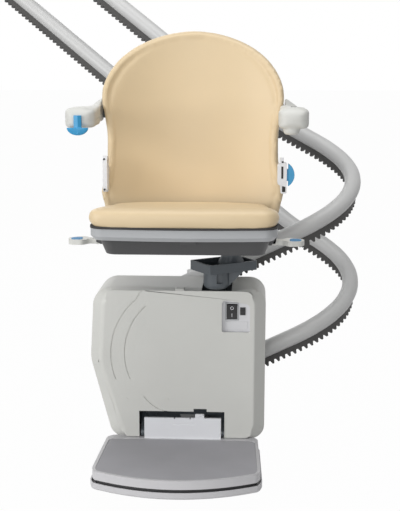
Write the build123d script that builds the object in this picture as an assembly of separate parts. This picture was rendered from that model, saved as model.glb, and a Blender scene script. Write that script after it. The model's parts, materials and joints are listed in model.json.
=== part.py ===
from build123d import *
import math
import os

# Stairlift chair on the lower end of its curved twin-tube rail. Millimetres, +Z up,
# +X to the sitter's left, the sitter faces -Y. The origin is the centre of the rail
# foot's floor plate, on the floor.

# ---- rail ------------------------------------------------------------------------------
tube_radius = 21.2
tube_wall = 3.2
near_run_y = -56.0
lower_tube_z = 170.0
tube_spacing = 272.0
slope_angle = 25.6
far_slope_angle = 35.0
bend_start_x = 250.0
bend_radius = 160.0
bend_turn = 155.0
bend_corners = 7
steepen_upper = 268.0
steepen_lower = 63.0
steepen_radius = 600.0
far_run_length = 1100.0
rack_module = 5.0
near_run_teeth = 31
teeth_above_lower_pinion = 18.5
teeth_above_upper_pinion = 25.5
rack_half_width = 8.0
tooth_half_width = 7.5
rack_seat_drop = 33.0
rack_addendum = 4.4
rack_dedendum = 5.0
rack_backlash = 0.2
pressure_angle = 20.0
end_cap_depth = 5.0
spigot_clearance = 0.05
spigot_inside = 60.0
spigot_outside = 50.0
spigot_relief = (2.0, 4.0, 1.0)

# ---- rail foot -------------------------------------------------------------------------
post_radius = 24.15
post_wall = 3.0
plate_length = 170.0
plate_width = 120.0
plate_thickness = 8.0
plate_hole_radius = 5.5
plate_hole_x = 130.0
plate_hole_y = 80.0
tie_half_height = 9.0
tie_width = 60.0

# ---- drive and bogies ------------------------------------------------------------------
pinion_teeth = 16
pinion_width = 14.0
pinion_backlash = 0.2
pinion_tip_gap = 0.8
pinion_shaft_radius = 9.0
pinion_hub_radius = 20.0
roller_offset = 38.0
roller_clearance = 0.3
roller_half_width = 17.0
roller_pitch = 110.0
roller_axle_radius = 6.0
running_clearance = 0.05
bogie_thickness = 16.0
bogie_half_length = 84.0
fork_gap = 0.6
fork_thickness = 8.0

# ---- carriage --------------------------------------------------------------------------
seat_front_y = -530.0
chassis_y = seat_front_y + 385.0
chassis_thickness = 8.0
chassis_tongue_z = 58.0
cover_rear_y = seat_front_y + 440.0
cover_bevel_y = seat_front_y + 300.0
cover_front_y = seat_front_y + 268.0
cover_inset = 26.0
cover_top_inset = 10.0
cover_wall = 3.0
cover_bottom_z = 76.0
cover_top_z = 455.0
cover_notch_z = 449.0
cover_right_x = 180.0
cover_left_top_x = -236.0
cover_left_mid = (-246.0, 276.0)
cover_left_bottom_x = -193.0
groove_width = 2.6
groove_depth = 1.2
window_x = (76.0, 143.0)
window_z = (353.0, 433.0)
window_depth = 10.0
opening_x = (-125.0, 83.0)
opening_top_z = 153.0
opening_notch_x = (8.0, 40.0)
opening_notch_z = 160.0
battery_size = (92.0, 64.0, 128.0)
battery_z = 168.0
battery_left_x = -200.0
battery_right_x = 48.0
motor_radius = 36.0
motor_length = 130.0
motor_z = 340.0

# ---- column and swivel -----------------------------------------------------------------
pivot_x = 97.0
pivot_y = seat_front_y + 300.0
tray_turn = 34.0
tray_length = 135.0
tray_width = 90.0
tray_wall = 5.0
tray_top_z = 525.0
tray_floor_z = 511.0
tray_bottom_z = 503.0
pivot_along = 89.0
column_x = 62.0
column_y = seat_front_y + 285.0
column_radius = 31.0
column_bottom_z = 458.0
swivel_spigot_radius = 20.0
swivel_flange_radius = 32.0
swivel_post_radius = 24.0
swivel_gap = 0.3

# ---- seat ------------------------------------------------------------------------------
base_plate_top_z = 583.0
base_plate_thickness = 8.0
base_plate_x = 134.0
base_cover_top_z = 611.0
base_cover_half = (188.0, 176.0)
base_cover_y = (seat_front_y + 56.0, seat_front_y + 285.0)
hinge_y = seat_front_y + 336.0
hinge_z = 634.0
hinge_pin_radius = 5.0
hinge_hub_radius = 10.0
hinge_ear_x = (80.0, 88.0)
hinge_slot_gap = 2.0
hinge_hub_width = 12.0
hinge_slot_top = 645.5
seat_half_width = 207.0
seat_rear_half_width = 190.0
seat_rear_y = seat_front_y + 382.0
seat_tray_half = 203.0
seat_tray_bottom_z = 614.0
seat_tray_top_z = 641.0
pad_front_z = 684.0
pad_rear_z = 650.0
pad_inner_z = 623.0
pad_edge_radius = 8.0

# ---- backrest --------------------------------------------------------------------------
back_y = seat_front_y + 400.0
back_radius = 400.0
back_pad_thickness = 32.0
back_shell_thickness = 10.0
back_lean = 6.0
back_lean_z = 640.0
back_top_z = 1066.0
back_shoulder_z = 901.0
back_half_widths = (220.0, 208.0, 221.0, 206.0)
back_waist_z = 790.0
back_wing_z = 680.0
back_bottom_z = 618.0
shell_inset = 9.0
upright_x = 110.0
upright_width = 40.0
upright_thickness = 8.0
upright_gap = 5.0
cross_tube_radius = 12.5
cheek_thickness = 6.0

# ---- arms ------------------------------------------------------------------------------
arm_inner_x = 209.0
arm_rear_inner_x = 224.0
arm_outer_x = 265.0
arm_front_y = seat_front_y + 128.0
arm_pivot_y = seat_front_y + 428.0
arm_pivot_z = 871.0
arm_hub_radius = 22.0
arm_top_z = 894.0
arm_bottom_z = 850.0
arm_pin_radius = 7.0
toggle_x = -239.0
toggle_pivot_z = 866.0
toggle_shaft_radius = 5.0
toggle_shaft_depth = 12.0
toggle_gap = 0.6

# ---- levers, belt ----------------------------------------------------------------------
lever_pin_x = base_cover_half[0] + 8.0
lever_end_x = lever_pin_x + 69.0
lever_z = 600.0
lever_y = seat_front_y + 120.0
lever_pin_radius = 3.5
belt_guide_size = (11.0, 34.0, 86.0)
belt_guide_z = 727.0
belt_guide_x = 205.5
belt_guide_y = seat_front_y + 306.0
buckle_y = seat_front_y + 296.0

# ---- footrest --------------------------------------------------------------------------
foot_x = -20.0
foot_hinge_y = seat_front_y + 275.0
foot_hinge_z = 97.0
foot_pin_radius = 5.0
foot_rear_y = seat_front_y + 284.0
foot_side_y = seat_front_y + 58.0
foot_front_y = seat_front_y - 13.0
foot_half_rear = 184.0
foot_half_front = 192.0
foot_top_z = 86.0
foot_plate_bottom_z = 66.0
foot_rim = 7.0
mat_recess = 3.0
pan_grow = 5.0
pan_bottom_z = 40.0
pan_top_z = 61.0
pan_wall = 3.0
pan_lift = 4.0
seal_inset = 9.0
upstand_x = (-112.0, 75.0)
upstand_top_z = 138.0

# ---- worked out from the above ---------------------------------------------------------
slope = math.tan(math.radians(slope_angle))
cos_slope = math.cos(math.radians(slope_angle))
sin_slope = math.sin(math.radians(slope_angle))
far_slope = math.tan(math.radians(far_slope_angle))
rack_pitch = math.pi * rack_module
near_length = near_run_teeth * rack_pitch
stations = {
    "lower": bend_start_x / cos_slope - teeth_above_lower_pinion * rack_pitch,
    "upper": bend_start_x / cos_slope - teeth_above_upper_pinion * rack_pitch,
}
near_start_s = bend_start_x / cos_slope - near_length
pitch_drop = rack_seat_drop + rack_dedendum
pinion_pitch_radius = rack_module * pinion_teeth / 2
pinion_drop = pitch_drop + pinion_pitch_radius
groove_radius = tube_radius + roller_clearance
chassis_rear_y = chassis_y + chassis_thickness
bogie_rear_y = chassis_rear_y + bogie_thickness
upper_tube_z = lower_tube_z + tube_spacing
spigot_radius = tube_radius - tube_wall - spigot_clearance
tube_heights = {"lower": lower_tube_z, "upper": upper_tube_z}


# ---- small helpers ---------------------------------------------------------------------
def front_slab(sketch, y_front, y_rear):
    """A sketch drawn in X and Z, as thick as from y_front to y_rear."""
    face = Pos(0, y_front, 0) * (Plane.XZ * sketch)
    return extrude(face, amount=y_rear - y_front, dir=(0, 1, 0))


def side_slab(sketch, x_low, x_high):
    """A sketch drawn in Y and Z, as wide as from x_low to x_high."""
    return extrude(Pos(x_low, 0, 0) * (Plane.YZ * sketch), amount=x_high - x_low, dir=(1, 0, 0))


def block(x, y, z):
    """A box between two places on each axis."""
    box = Box(x[1] - x[0], y[1] - y[0], z[1] - z[0])
    return Pos((x[0] + x[1]) / 2, (y[0] + y[1]) / 2, (z[0] + z[1]) / 2) * box


def rod_x(radius, x_low, x_high, y, z):
    return Pos((x_low + x_high) / 2, y, z) * Rot(0, 90, 0) * Cylinder(radius, x_high - x_low)


def rod_y(radius, y_low, y_high, x, z):
    return Pos(x, (y_low + y_high) / 2, z) * Rot(90, 0, 0) * Cylinder(radius, y_high - y_low)


def rod_z(radius, z_low, z_high, x, y):
    return Pos(x, y, (z_low + z_high) / 2) * Cylinder(radius, z_high - z_low)


def rounded(points, radii):
    """A polygon with its own radius at each corner."""
    face = make_face(Polyline(*points, close=True))
    for point, radius in zip(points, radii):
        if radius:
            corner = face.vertices().sort_by_distance((point[0], point[1], 0))[0]
            face = fillet(corner, radius)
    return face


def mirrored_pair(solid):
    """The solid and its mirror image across the chair's middle plane."""
    return Compound([solid.solid(), mirror(solid, about=Plane.YZ).solid()])


def save(shape, node):
    export_step(shape, "parts/" + node + ".step")


# ---- the rail's centre lines -----------------------------------------------------------
def near_point(tube_z, s):
    """A point on the straight lower run, s along it from the middle plane."""
    return Vector(s * cos_slope, near_run_y, tube_z + s * sin_slope)


def bend_points(tube_z):
    """Start, corners and end of the bend: tangents that touch a helix."""
    half = math.radians(bend_turn / bend_corners / 2)
    leg = bend_radius * math.tan(half)
    start_z = tube_z + slope * bend_start_x
    centre_y = near_run_y + bend_radius
    points = [Vector(bend_start_x, near_run_y, start_z)]
    for k in range(bend_corners):
        angle = (2 * k + 1) * half
        reach = bend_radius / math.cos(half)
        points.append(
            Vector(
                bend_start_x + reach * math.sin(angle),
                centre_y - reach * math.cos(angle),
                start_z + slope * (2 * k + 1) * leg,
            )
        )
    angle = math.radians(bend_turn)
    points.append(
        Vector(
            bend_start_x + bend_radius * math.sin(angle),
            centre_y - bend_radius * math.cos(angle),
            start_z + slope * 2 * bend_corners * leg,
        )
    )
    return points


def far_points(tube_z, steepen_after):
    """Start, the place where the slope steepens, and end of the upper run."""
    start = bend_points(tube_z)[-1]
    angle = math.radians(bend_turn)
    heading = Vector(math.cos(angle), math.sin(angle), 0)
    knee = start + heading * steepen_after + Vector(0, 0, slope * steepen_after)
    rest = far_run_length - steepen_after
    return [start, knee, knee + heading * rest + Vector(0, 0, far_slope * rest)]


def near_path(tube_z):
    start = near_point(tube_z, near_start_s)
    return Wire([Edge.make_line(start, near_point(tube_z, near_start_s + near_length))])


def bend_path(tube_z):
    points = bend_points(tube_z)
    run = (points[2] - points[1]).length
    turn = (points[1] - points[0]).get_angle(points[2] - points[1])
    radius = 0.45 * run / math.tan(math.radians(turn / 2))
    return Wire(FilletPolyline(*points, radius=radius).edges())


def far_path(tube_z, steepen_after):
    return Wire(FilletPolyline(*far_points(tube_z, steepen_after), radius=steepen_radius).edges())


def across(path):
    """Plane across the path at its start."""
    return Plane(origin=path.position_at(0), z_dir=path.tangent_at(0))


def tube_along(path, radius, bore=0.0):
    section = Circle(radius)
    if bore:
        section -= Circle(bore)
    return sweep(across(path) * section, path=path)


# ---- the racks -------------------------------------------------------------------------
def path_frame(path, s):
    """Place on a path, with its heading, its sideways and its upward normal."""
    share = s / path.length
    tangent = path.tangent_at(share).normalized()
    side = Vector(0, 0, 1).cross(tangent).normalized()
    return path.position_at(share), tangent, side, tangent.cross(side)


def rack_half(drop):
    """Half the thickness of a rack tooth at a drop below the tube's centre line."""
    flank = math.tan(math.radians(pressure_angle))
    return rack_pitch / 4 - rack_backlash / 2 - (drop - pitch_drop) * flank


def tooth_places(length):
    count = max(1, round(length / rack_pitch))
    return [(k + 0.5) * length / count for k in range(count)]


def planar_rack(path):
    """Toothed bar under a run that lies in one upright plane, seated on the tube."""
    tip_drop = pitch_drop + rack_addendum

    def at(s, drop):
        place, _, _, up = path_frame(path, s)
        return place - up * drop

    lower = [at(0, rack_seat_drop)]
    for s in tooth_places(path.length):
        for offset, drop in (
            (-rack_half(rack_seat_drop), rack_seat_drop),
            (-rack_half(tip_drop), tip_drop),
            (rack_half(tip_drop), tip_drop),
            (rack_half(rack_seat_drop), rack_seat_drop),
        ):
            place, tangent, _, up = path_frame(path, s)
            lower.append(place + tangent * offset - up * drop)
    lower.append(at(path.length, rack_seat_drop))
    steps = 1 if len(path.edges()) == 1 else 16
    seat = tube_radius - 2.5
    upper = [at(path.length * (1 - k / steps), seat) for k in range(steps + 1)]
    face = Face(Wire.make_polygon(lower + upper, close=True))
    side = path_frame(path, 0)[2]
    bar = extrude(face, amount=rack_half_width, dir=side, both=True)
    return bar - tube_along(path, tube_radius)


def bent_rack(path):
    """Toothed bar under the bend, seated on the tube."""
    seat_edge = math.sqrt(tube_radius**2 - rack_half_width**2)
    tip_drop = pitch_drop + rack_addendum
    place, tangent, side, up = path_frame(path, 0)
    plane = Plane(origin=place, x_dir=side, z_dir=tangent)
    facing = 1 if plane.y_dir.dot(up) > 0 else -1
    left = (-rack_half_width, -facing * seat_edge)
    right = (rack_half_width, -facing * seat_edge)
    arc = ThreePointArc(left, (0, -facing * tube_radius), right)
    drop = -facing * rack_seat_drop
    foot = Polyline(right, (rack_half_width, drop), (-rack_half_width, drop), left)
    bar = sweep(plane * make_face([arc, foot]), path=path, binormal=Pos(0, 0, -60) * path)
    teeth = []
    for s in tooth_places(path.length):
        place, tangent, side, up = path_frame(path, s)
        corners = [
            place + tangent * offset - up * drop
            for offset, drop in (
                (-rack_half(rack_seat_drop), rack_seat_drop - 1),
                (-rack_half(rack_seat_drop), rack_seat_drop),
                (-rack_half(tip_drop), tip_drop),
                (rack_half(tip_drop), tip_drop),
                (rack_half(rack_seat_drop), rack_seat_drop),
                (rack_half(rack_seat_drop), rack_seat_drop - 1),
            )
        ]
        face = Face(Wire.make_polygon(corners, close=True))
        teeth.append(extrude(face, amount=tooth_half_width, dir=side, both=True))
    return bar.fuse(*teeth)


def make_rail():
    for name, tube_z, steepen_after in (
        ("upper", upper_tube_z, steepen_upper),
        ("lower", lower_tube_z, steepen_lower),
    ):
        near = near_path(tube_z)
        bend = bend_path(tube_z)
        far = far_path(tube_z, steepen_after)
        bore = tube_radius - tube_wall
        save(tube_along(near, tube_radius, bore), name + "_tube_near_run")
        save(tube_along(bend, tube_radius, bore), name + "_tube_bend")
        save(tube_along(far, tube_radius, bore), name + "_tube_far_run")
        save(planar_rack(near), name + "_rack_near_run")
        save(bent_rack(bend), name + "_rack_bend")
        save(planar_rack(far), name + "_rack_far_run")


def make_rail_ends():
    """Plastic caps at the lower end, and joining spigots at the upper end."""
    caps = []
    spigots = []
    for tube_z, steepen_after in ((upper_tube_z, steepen_upper), (lower_tube_z, steepen_lower)):
        near = near_path(tube_z)
        disc = extrude(across(near) * Circle(tube_radius), amount=-end_cap_depth)
        plug = extrude(across(near) * Circle(spigot_radius), amount=2.4 * end_cap_depth)
        caps.append((disc + plug).solid())
        far = far_path(tube_z, steepen_after)
        end = Plane(origin=far.position_at(1), z_dir=far.tangent_at(1))
        body = extrude(end * Circle(spigot_radius), amount=spigot_outside)
        tip = body.edges().filter_by(GeomType.CIRCLE).sort_by_distance(end.origin)[-1]
        body = chamfer(tip, 2)
        body += extrude(end * Circle(spigot_radius), amount=-spigot_inside)
        above, below, deep = spigot_relief
        ring = Circle(spigot_radius + 1) - Circle(spigot_radius - deep)
        body -= extrude(end.offset(-below) * ring, amount=above + below)
        spigots.append(body.solid())
    save(Compound(caps), "tube_end_caps")
    save(Compound(spigots), "joining_spigots")


def make_foot():
    """Floor plate with four holes, and the post that carries both tubes."""
    plate = Box(plate_length, plate_width, plate_thickness, align=(Align.CENTER, Align.CENTER, Align.MIN))
    plate = fillet(plate.edges().filter_by(Axis.Z), 14)
    for x in (-plate_hole_x / 2, plate_hole_x / 2):
        for y in (-plate_hole_y / 2, plate_hole_y / 2):
            plate -= rod_z(plate_hole_radius, -1, plate_thickness + 1, x, y)
    save(plate, "floor_plate")
    top_z = upper_tube_z + tube_radius / 2
    post = rod_z(post_radius, plate_thickness, top_z, 0, 0)
    post -= rod_z(post_radius - post_wall, plate_thickness - 1, top_z - post_wall, 0, 0)
    for tube_z in (lower_tube_z, upper_tube_z):
        turn = Pos(0, near_run_y, tube_z) * Rot(0, -slope_angle, 0)
        reach = -near_run_y - post_radius + 4
        tie = turn * Pos(0, reach / 2, 0) * Box(tie_width, reach, 2 * tie_half_height)
        tie -= tube_along(near_path(tube_z), tube_radius)
        tie = max(tie.solids(), key=lambda solid: solid.center().Y)
        post += tie
        post -= rod_z(post_radius - post_wall, plate_thickness - 1, top_z - post_wall, 0, 0)
    save(post, "support_post")


# ---- running gear ----------------------------------------------------------------------
def on_slope(tube_z, s):
    """Local X runs up the tube, local Z stands off it, at s along the near run."""
    place = near_point(tube_z, s)
    return Pos(place.X, place.Y, place.Z) * Rot(0, -slope_angle, 0)


def roller():
    """Waisted roller about Z: its groove rolls on the tube."""
    edge = roller_offset - math.sqrt(groove_radius**2 - roller_half_width**2)
    bore = roller_axle_radius + running_clearance
    top = (edge, roller_half_width)
    bottom = (edge, -roller_half_width)
    groove_arc = ThreePointArc(bottom, (roller_offset - groove_radius, 0), top)
    rest = Polyline(top, (bore, roller_half_width), (bore, -roller_half_width), bottom)
    return revolve(Plane.XZ * make_face([groove_arc, rest]), axis=Axis.Z)


def pinion():
    """Involute pinion about Z with a tooth gap facing local +X."""
    base = pinion_pitch_radius * math.cos(math.radians(pressure_angle))
    tip = pinion_pitch_radius + rack_addendum
    root = pinion_pitch_radius - rack_addendum - pinion_tip_gap
    alpha = math.radians(pressure_angle)
    pitch_half = math.pi / 2 / pinion_teeth - pinion_backlash / pinion_pitch_radius

    def half_angle(radius):
        grip = math.acos(min(1.0, base / radius))
        return pitch_half + math.tan(alpha) - alpha - math.tan(grip) + grip

    middle = (pinion_pitch_radius + tip) / 2
    flank = [(root, half_angle(base)), (base, half_angle(base))]
    flank += [(radius, half_angle(radius)) for radius in (pinion_pitch_radius, middle, tip)]
    points = []
    for k in range(pinion_teeth):
        centre = 2 * math.pi * (k + 0.5) / pinion_teeth
        for radius, half in flank:
            points.append((radius * math.cos(centre - half), radius * math.sin(centre - half)))
        for radius, half in reversed(flank):
            points.append((radius * math.cos(centre + half), radius * math.sin(centre + half)))
    return extrude(make_face(Polyline(*points, close=True)), amount=pinion_width / 2, both=True)


def pinion_place(name):
    """The pinion's centre, square to the tube above it."""
    return on_slope(tube_heights[name], stations[name]) * Pos(0, 0, -pinion_drop)


def make_bogie(name):
    """Plate and forks that hold two rollers in front of one tube."""
    place = on_slope(tube_heights[name], stations[name])
    plate = rounded(
        [
            (-bogie_half_length, 30),
            (bogie_half_length - 8, 30),
            (bogie_half_length, -30),
            (38, -pinion_drop - 28),
            (-38, -pinion_drop - 28),
            (-bogie_half_length, -30),
        ],
        (12, 12, 12, 20, 20, 12),
    )
    flat = extrude(Plane.XZ * plate, amount=bogie_thickness, dir=(0, 1, 0))
    bogie = place * Pos(0, chassis_rear_y - near_run_y, 0) * flat
    centre = pinion_place(name).position
    bogie -= rod_y(pinion_shaft_radius + running_clearance, chassis_y, bogie_rear_y + 1, centre.X, centre.Z)
    fork_inner = roller_half_width + fork_gap
    reach = near_run_y - roller_offset + 12 - bogie_rear_y
    axle_half = fork_inner + fork_thickness
    axles = []
    for end, along in (("low", -roller_pitch / 2), ("high", roller_pitch / 2)):
        spot = place * Pos(along, -roller_offset, 0)
        for low in (fork_inner, -fork_inner - fork_thickness):
            lug = Box(28, reach + 1, fork_thickness, align=(Align.CENTER, Align.MIN, Align.MIN))
            bogie += place * Pos(along, bogie_rear_y - 1 - near_run_y, low) * lug
        bogie -= spot * Cylinder(roller_axle_radius, 2 * axle_half + 2)
        axles.append((spot * Cylinder(roller_axle_radius, 2 * axle_half)).solid())
        save(spot * roller(), name + "_roller_" + end)
    save(bogie, name + "_bogie")
    return axles


def make_running_gear():
    axles = []
    for name in ("upper", "lower"):
        spin = pinion_place(name)
        centre = spin.position
        gear = spin * Rot(90, 0, 0) * Rot(0, 0, 90) * pinion()
        hub = rod_y(pinion_hub_radius, near_run_y - pinion_width / 2 - 6, near_run_y, centre.X, centre.Z)
        shaft_end = near_run_y + pinion_width / 2 + 4
        shaft = rod_y(pinion_shaft_radius, chassis_y + 2, shaft_end, centre.X, centre.Z)
        save(gear + hub + shaft, name + "_pinion")
        axles += make_bogie(name)
    save(Compound(axles), "roller_axles")


# ---- carriage --------------------------------------------------------------------------
def cover_outline(inset, top_inset):
    """The carriage cover seen from the front, drawn in by an inset."""
    corners = [
        (cover_right_x - inset, cover_bottom_z + inset),
        (cover_right_x + 1 - inset, cover_top_z - top_inset),
        (cover_left_top_x + inset, cover_top_z - top_inset),
        (cover_left_mid[0] + inset, cover_left_mid[1]),
        (cover_left_bottom_x + inset, cover_bottom_z + inset),
    ]
    small = inset / 2
    return rounded(corners, (36 - small, 40 - small, 46 - small, 90, 36 - small))


def bevelled_body(wall, rear_y):
    """Straight rear part and a bevel down to the smaller front panel."""
    rim_y = cover_bevel_y + wall / 2
    straight = front_slab(cover_outline(wall, wall), rim_y, rear_y)
    rear = Pos(0, rim_y, 0) * (Plane.XZ * cover_outline(wall, wall))
    panel = cover_outline(wall + cover_inset, wall + cover_top_inset)
    front = Pos(0, cover_front_y + wall, 0) * (Plane.XZ * panel)
    return straight + loft([rear, front], ruled=True)


def groove(start, middle, end):
    line = ThreePointArc(start, middle, end)
    return front_slab(trace(line, line_width=groove_width), cover_front_y - 1, cover_front_y + groove_depth)


def window_outline(grow):
    x0, x1 = window_x[0] - grow, window_x[1] + grow
    z0, z1 = window_z[0] - grow, window_z[1] + grow
    return rounded([(x0, z0), (x1, z0), (x1, z1 - 12), (x0, z1)], (4, 4, 10, 10))


def make_cover():
    outer = bevelled_body(0, cover_rear_y)
    inner = bevelled_body(cover_wall, cover_rear_y + 1)
    cover = outer - inner
    cover -= front_slab(window_outline(0), cover_front_y - 1, cover_front_y + 20)
    cover -= block(opening_x, (cover_front_y - 1, cover_bevel_y), (cover_bottom_z - 1, opening_top_z))
    cover -= block(opening_notch_x, (cover_front_y - 1, cover_bevel_y), (opening_top_z - 1, opening_notch_z))
    notch = (column_x - column_radius - 4, column_x + column_radius + 6)
    cover -= block(notch, (cover_front_y - 1, chassis_y), (cover_notch_z, cover_top_z + 1))
    below = (cover_bottom_z - 1, cover_bottom_z + cover_wall + 4)
    cover -= block(opening_x, (cover_bevel_y - 1, cover_rear_y + 1), below)
    cover -= groove((-111, 446), (-168, 386), (-181, 232))
    cover -= groove((-106, 416), (-148, 356), (-146, 234))
    cover -= groove((-113, 190), (-90, 167), (-56, 152))
    save(cover, "carriage_cover")


def make_switch():
    """Recessed panel behind the window, the switch housing and its rocker."""
    inside = cover_front_y + cover_wall
    floor = cover_front_y + window_depth
    panel = front_slab(window_outline(6), inside, inside + 2)
    panel += front_slab(window_outline(3), inside, floor + 3)
    panel -= front_slab(window_outline(0), inside - 1, floor)
    hole = ((84, 116), (380, 424))
    panel -= block(hole[0], (floor - 1, floor + 4), hole[1])
    save(panel, "switch_panel")
    (x0, x1), (z0, z1) = hole
    housing = block((x0 + 0.2, x1 - 0.2), (floor - 1.5, floor + 24), (z0 + 0.2, z1 - 0.2))
    housing -= block((x0 + 3, x1 - 3), (floor - 2, floor + 14), (z0 + 3, z1 - 3))
    mid_z = (z0 + z1) / 2
    housing += rod_x(1.5, x0 + 2, x1 - 2, floor + 5, mid_z)
    save(housing, "switch_housing")
    half = (z1 - z0) / 2 - 4.5
    profile = make_face(
        Polyline(
            (floor - 3.4, mid_z + half),
            (floor + 0.4, mid_z),
            (floor + 0.4, mid_z - half),
            (floor + 7, mid_z - half),
            (floor + 9, mid_z),
            (floor + 5, mid_z + half),
            close=True,
        )
    )
    rocker = side_slab(profile, x0 + 3.4, x1 - 3.4)
    rocker -= rod_x(1.55, x0, x1, floor + 5, mid_z)
    save(rocker, "power_rocker")


def make_chassis():
    gap = cover_wall + 0.2
    plate = front_slab(cover_outline(gap, gap), chassis_y, chassis_rear_y)
    low = pinion_place("lower").position
    high = pinion_place("upper").position
    low_z = cover_bottom_z + 34
    left, right = low.X - 54, low.X + 54
    tongue = [(left, low_z), (left, chassis_tongue_z), (right, chassis_tongue_z), (right, low_z)]
    plate += front_slab(rounded(tongue, (0, 12, 12, 0)), chassis_y, chassis_rear_y)
    for centre in (low, high):
        plate -= rod_y(pinion_shaft_radius + 0.5, chassis_y - 1, chassis_rear_y + 1, centre.X, centre.Z)
    save(plate, "chassis_plate")
    low_end = [(low.X - 30, low.Z - 30), (low.X + 30, low.Z - 30)]
    high_end = [(high.X + 30, high.Z + 30), (high.X - 30, high.Z + 30)]
    case = rounded(low_end + high_end, (14, 14, 14, 14))
    gearbox = front_slab(case, chassis_y - 52, chassis_y)
    for centre in (low, high):
        gearbox -= rod_y(pinion_shaft_radius + 1, chassis_y - 1, chassis_y + 1, centre.X, centre.Z)
        gearbox -= rod_y(pinion_shaft_radius + 0.1, chassis_y - 1, chassis_y + 12, centre.X, centre.Z)
    save(gearbox, "drive_gearbox")
    motor_y = chassis_y - motor_radius - 4
    nose = high.X + 30
    motor = rod_x(motor_radius, nose + 14, nose + motor_length, motor_y, motor_z)
    motor += rod_x(motor_radius - 12, nose - 4, nose + 15, motor_y, motor_z)
    motor += rod_x(8, nose + motor_length - 1, nose + motor_length + 10, motor_y, motor_z)
    save(motor - gearbox, "drive_motor")
    wide, deep, tall = battery_size
    boxes = []
    for x_low in (battery_left_x, battery_right_x):
        battery = block((x_low, x_low + wide), (chassis_y - deep, chassis_y), (battery_z, battery_z + tall))
        boxes.append(chamfer(battery.edges(), 2).solid())
    save(Compound(boxes), "batteries")


def make_column():
    """Column casting: foot on the chassis, half-round column, and the swivel tray."""
    turn = math.radians(tray_turn)
    along = Vector(math.cos(turn), math.sin(turn), 0)
    beside = Vector(-math.sin(turn), math.cos(turn), 0)
    pivot = Vector(pivot_x, pivot_y, 0)
    centre = pivot + along * (tray_length / 2 - pivot_along)
    place = Pos(centre.X, centre.Y, 0) * Rot(0, 0, tray_turn)
    rim = extrude(RectangleRounded(tray_length, tray_width, 5), amount=tray_top_z - tray_bottom_z)
    well = extrude(RectangleRounded(tray_length - 2 * tray_wall, tray_width - 2 * tray_wall, 4), amount=50)
    tray = place * (Pos(0, 0, tray_bottom_z) * rim - Pos(0, 0, tray_floor_z) * well)
    column = rod_z(column_radius, column_bottom_z, tray_bottom_z, column_x, column_y)
    sides = (column_x - column_radius, column_x + column_radius)
    column += block(sides, (column_y, chassis_y), (column_bottom_z, tray_bottom_z))
    column = fillet(column.edges().group_by(Axis.Z)[0].filter_by(GeomType.CIRCLE), 12)
    foot_z = (column_bottom_z - 52, column_bottom_z - 10)
    foot = block((column_x - 42, column_x + 42), (chassis_y - 14, chassis_y), foot_z)
    neck = side_slab(
        make_face(
            Polyline(
                (chassis_y - 60, column_bottom_z),
                (chassis_y - 14, column_bottom_z - 46),
                (chassis_y - 13, column_bottom_z + 1),
                close=True,
            )
        ),
        column_x - 20,
        column_x + 20,
    )
    web = front_slab(
        make_face(
            Polyline(
                (column_x + column_radius - 4, tray_bottom_z + 1),
                (pivot_x + 34, tray_bottom_z + 1),
                (column_x + column_radius - 4, column_bottom_z + 4),
                close=True,
            )
        ),
        column_y - 6,
        column_y + 4,
    )
    recess = block(
        (column_x + 2, column_x + 16), (column_y - column_radius - 2, column_y - column_radius + 10),
        (column_bottom_z + 16, tray_bottom_z - 6),
    )
    casting = tray + column + foot + neck + web - recess
    bore_radius = swivel_spigot_radius + running_clearance
    bore = rod_z(bore_radius, tray_bottom_z - 60, tray_floor_z + 1, pivot_x, pivot_y)
    save(casting - bore, "column_bracket")


# ---- footrest --------------------------------------------------------------------------
def foot_outline(grow):
    """Plan of the footrest: straight rear, flared sides, bowed front."""
    rear = foot_rear_y + grow
    side = foot_side_y
    left, right = foot_x - foot_half_front - grow, foot_x + foot_half_front + grow
    rear_left, rear_right = foot_x - foot_half_rear - grow, foot_x + foot_half_rear + grow
    face = make_face(
        [
            Polyline((left, side), (rear_left, rear), (rear_right, rear), (right, side)),
            ThreePointArc((right, side), (foot_x, foot_front_y - grow), (left, side)),
        ]
    )
    return fillet(face.vertices(), 16 + grow if grow > -8 else 8)


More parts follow.
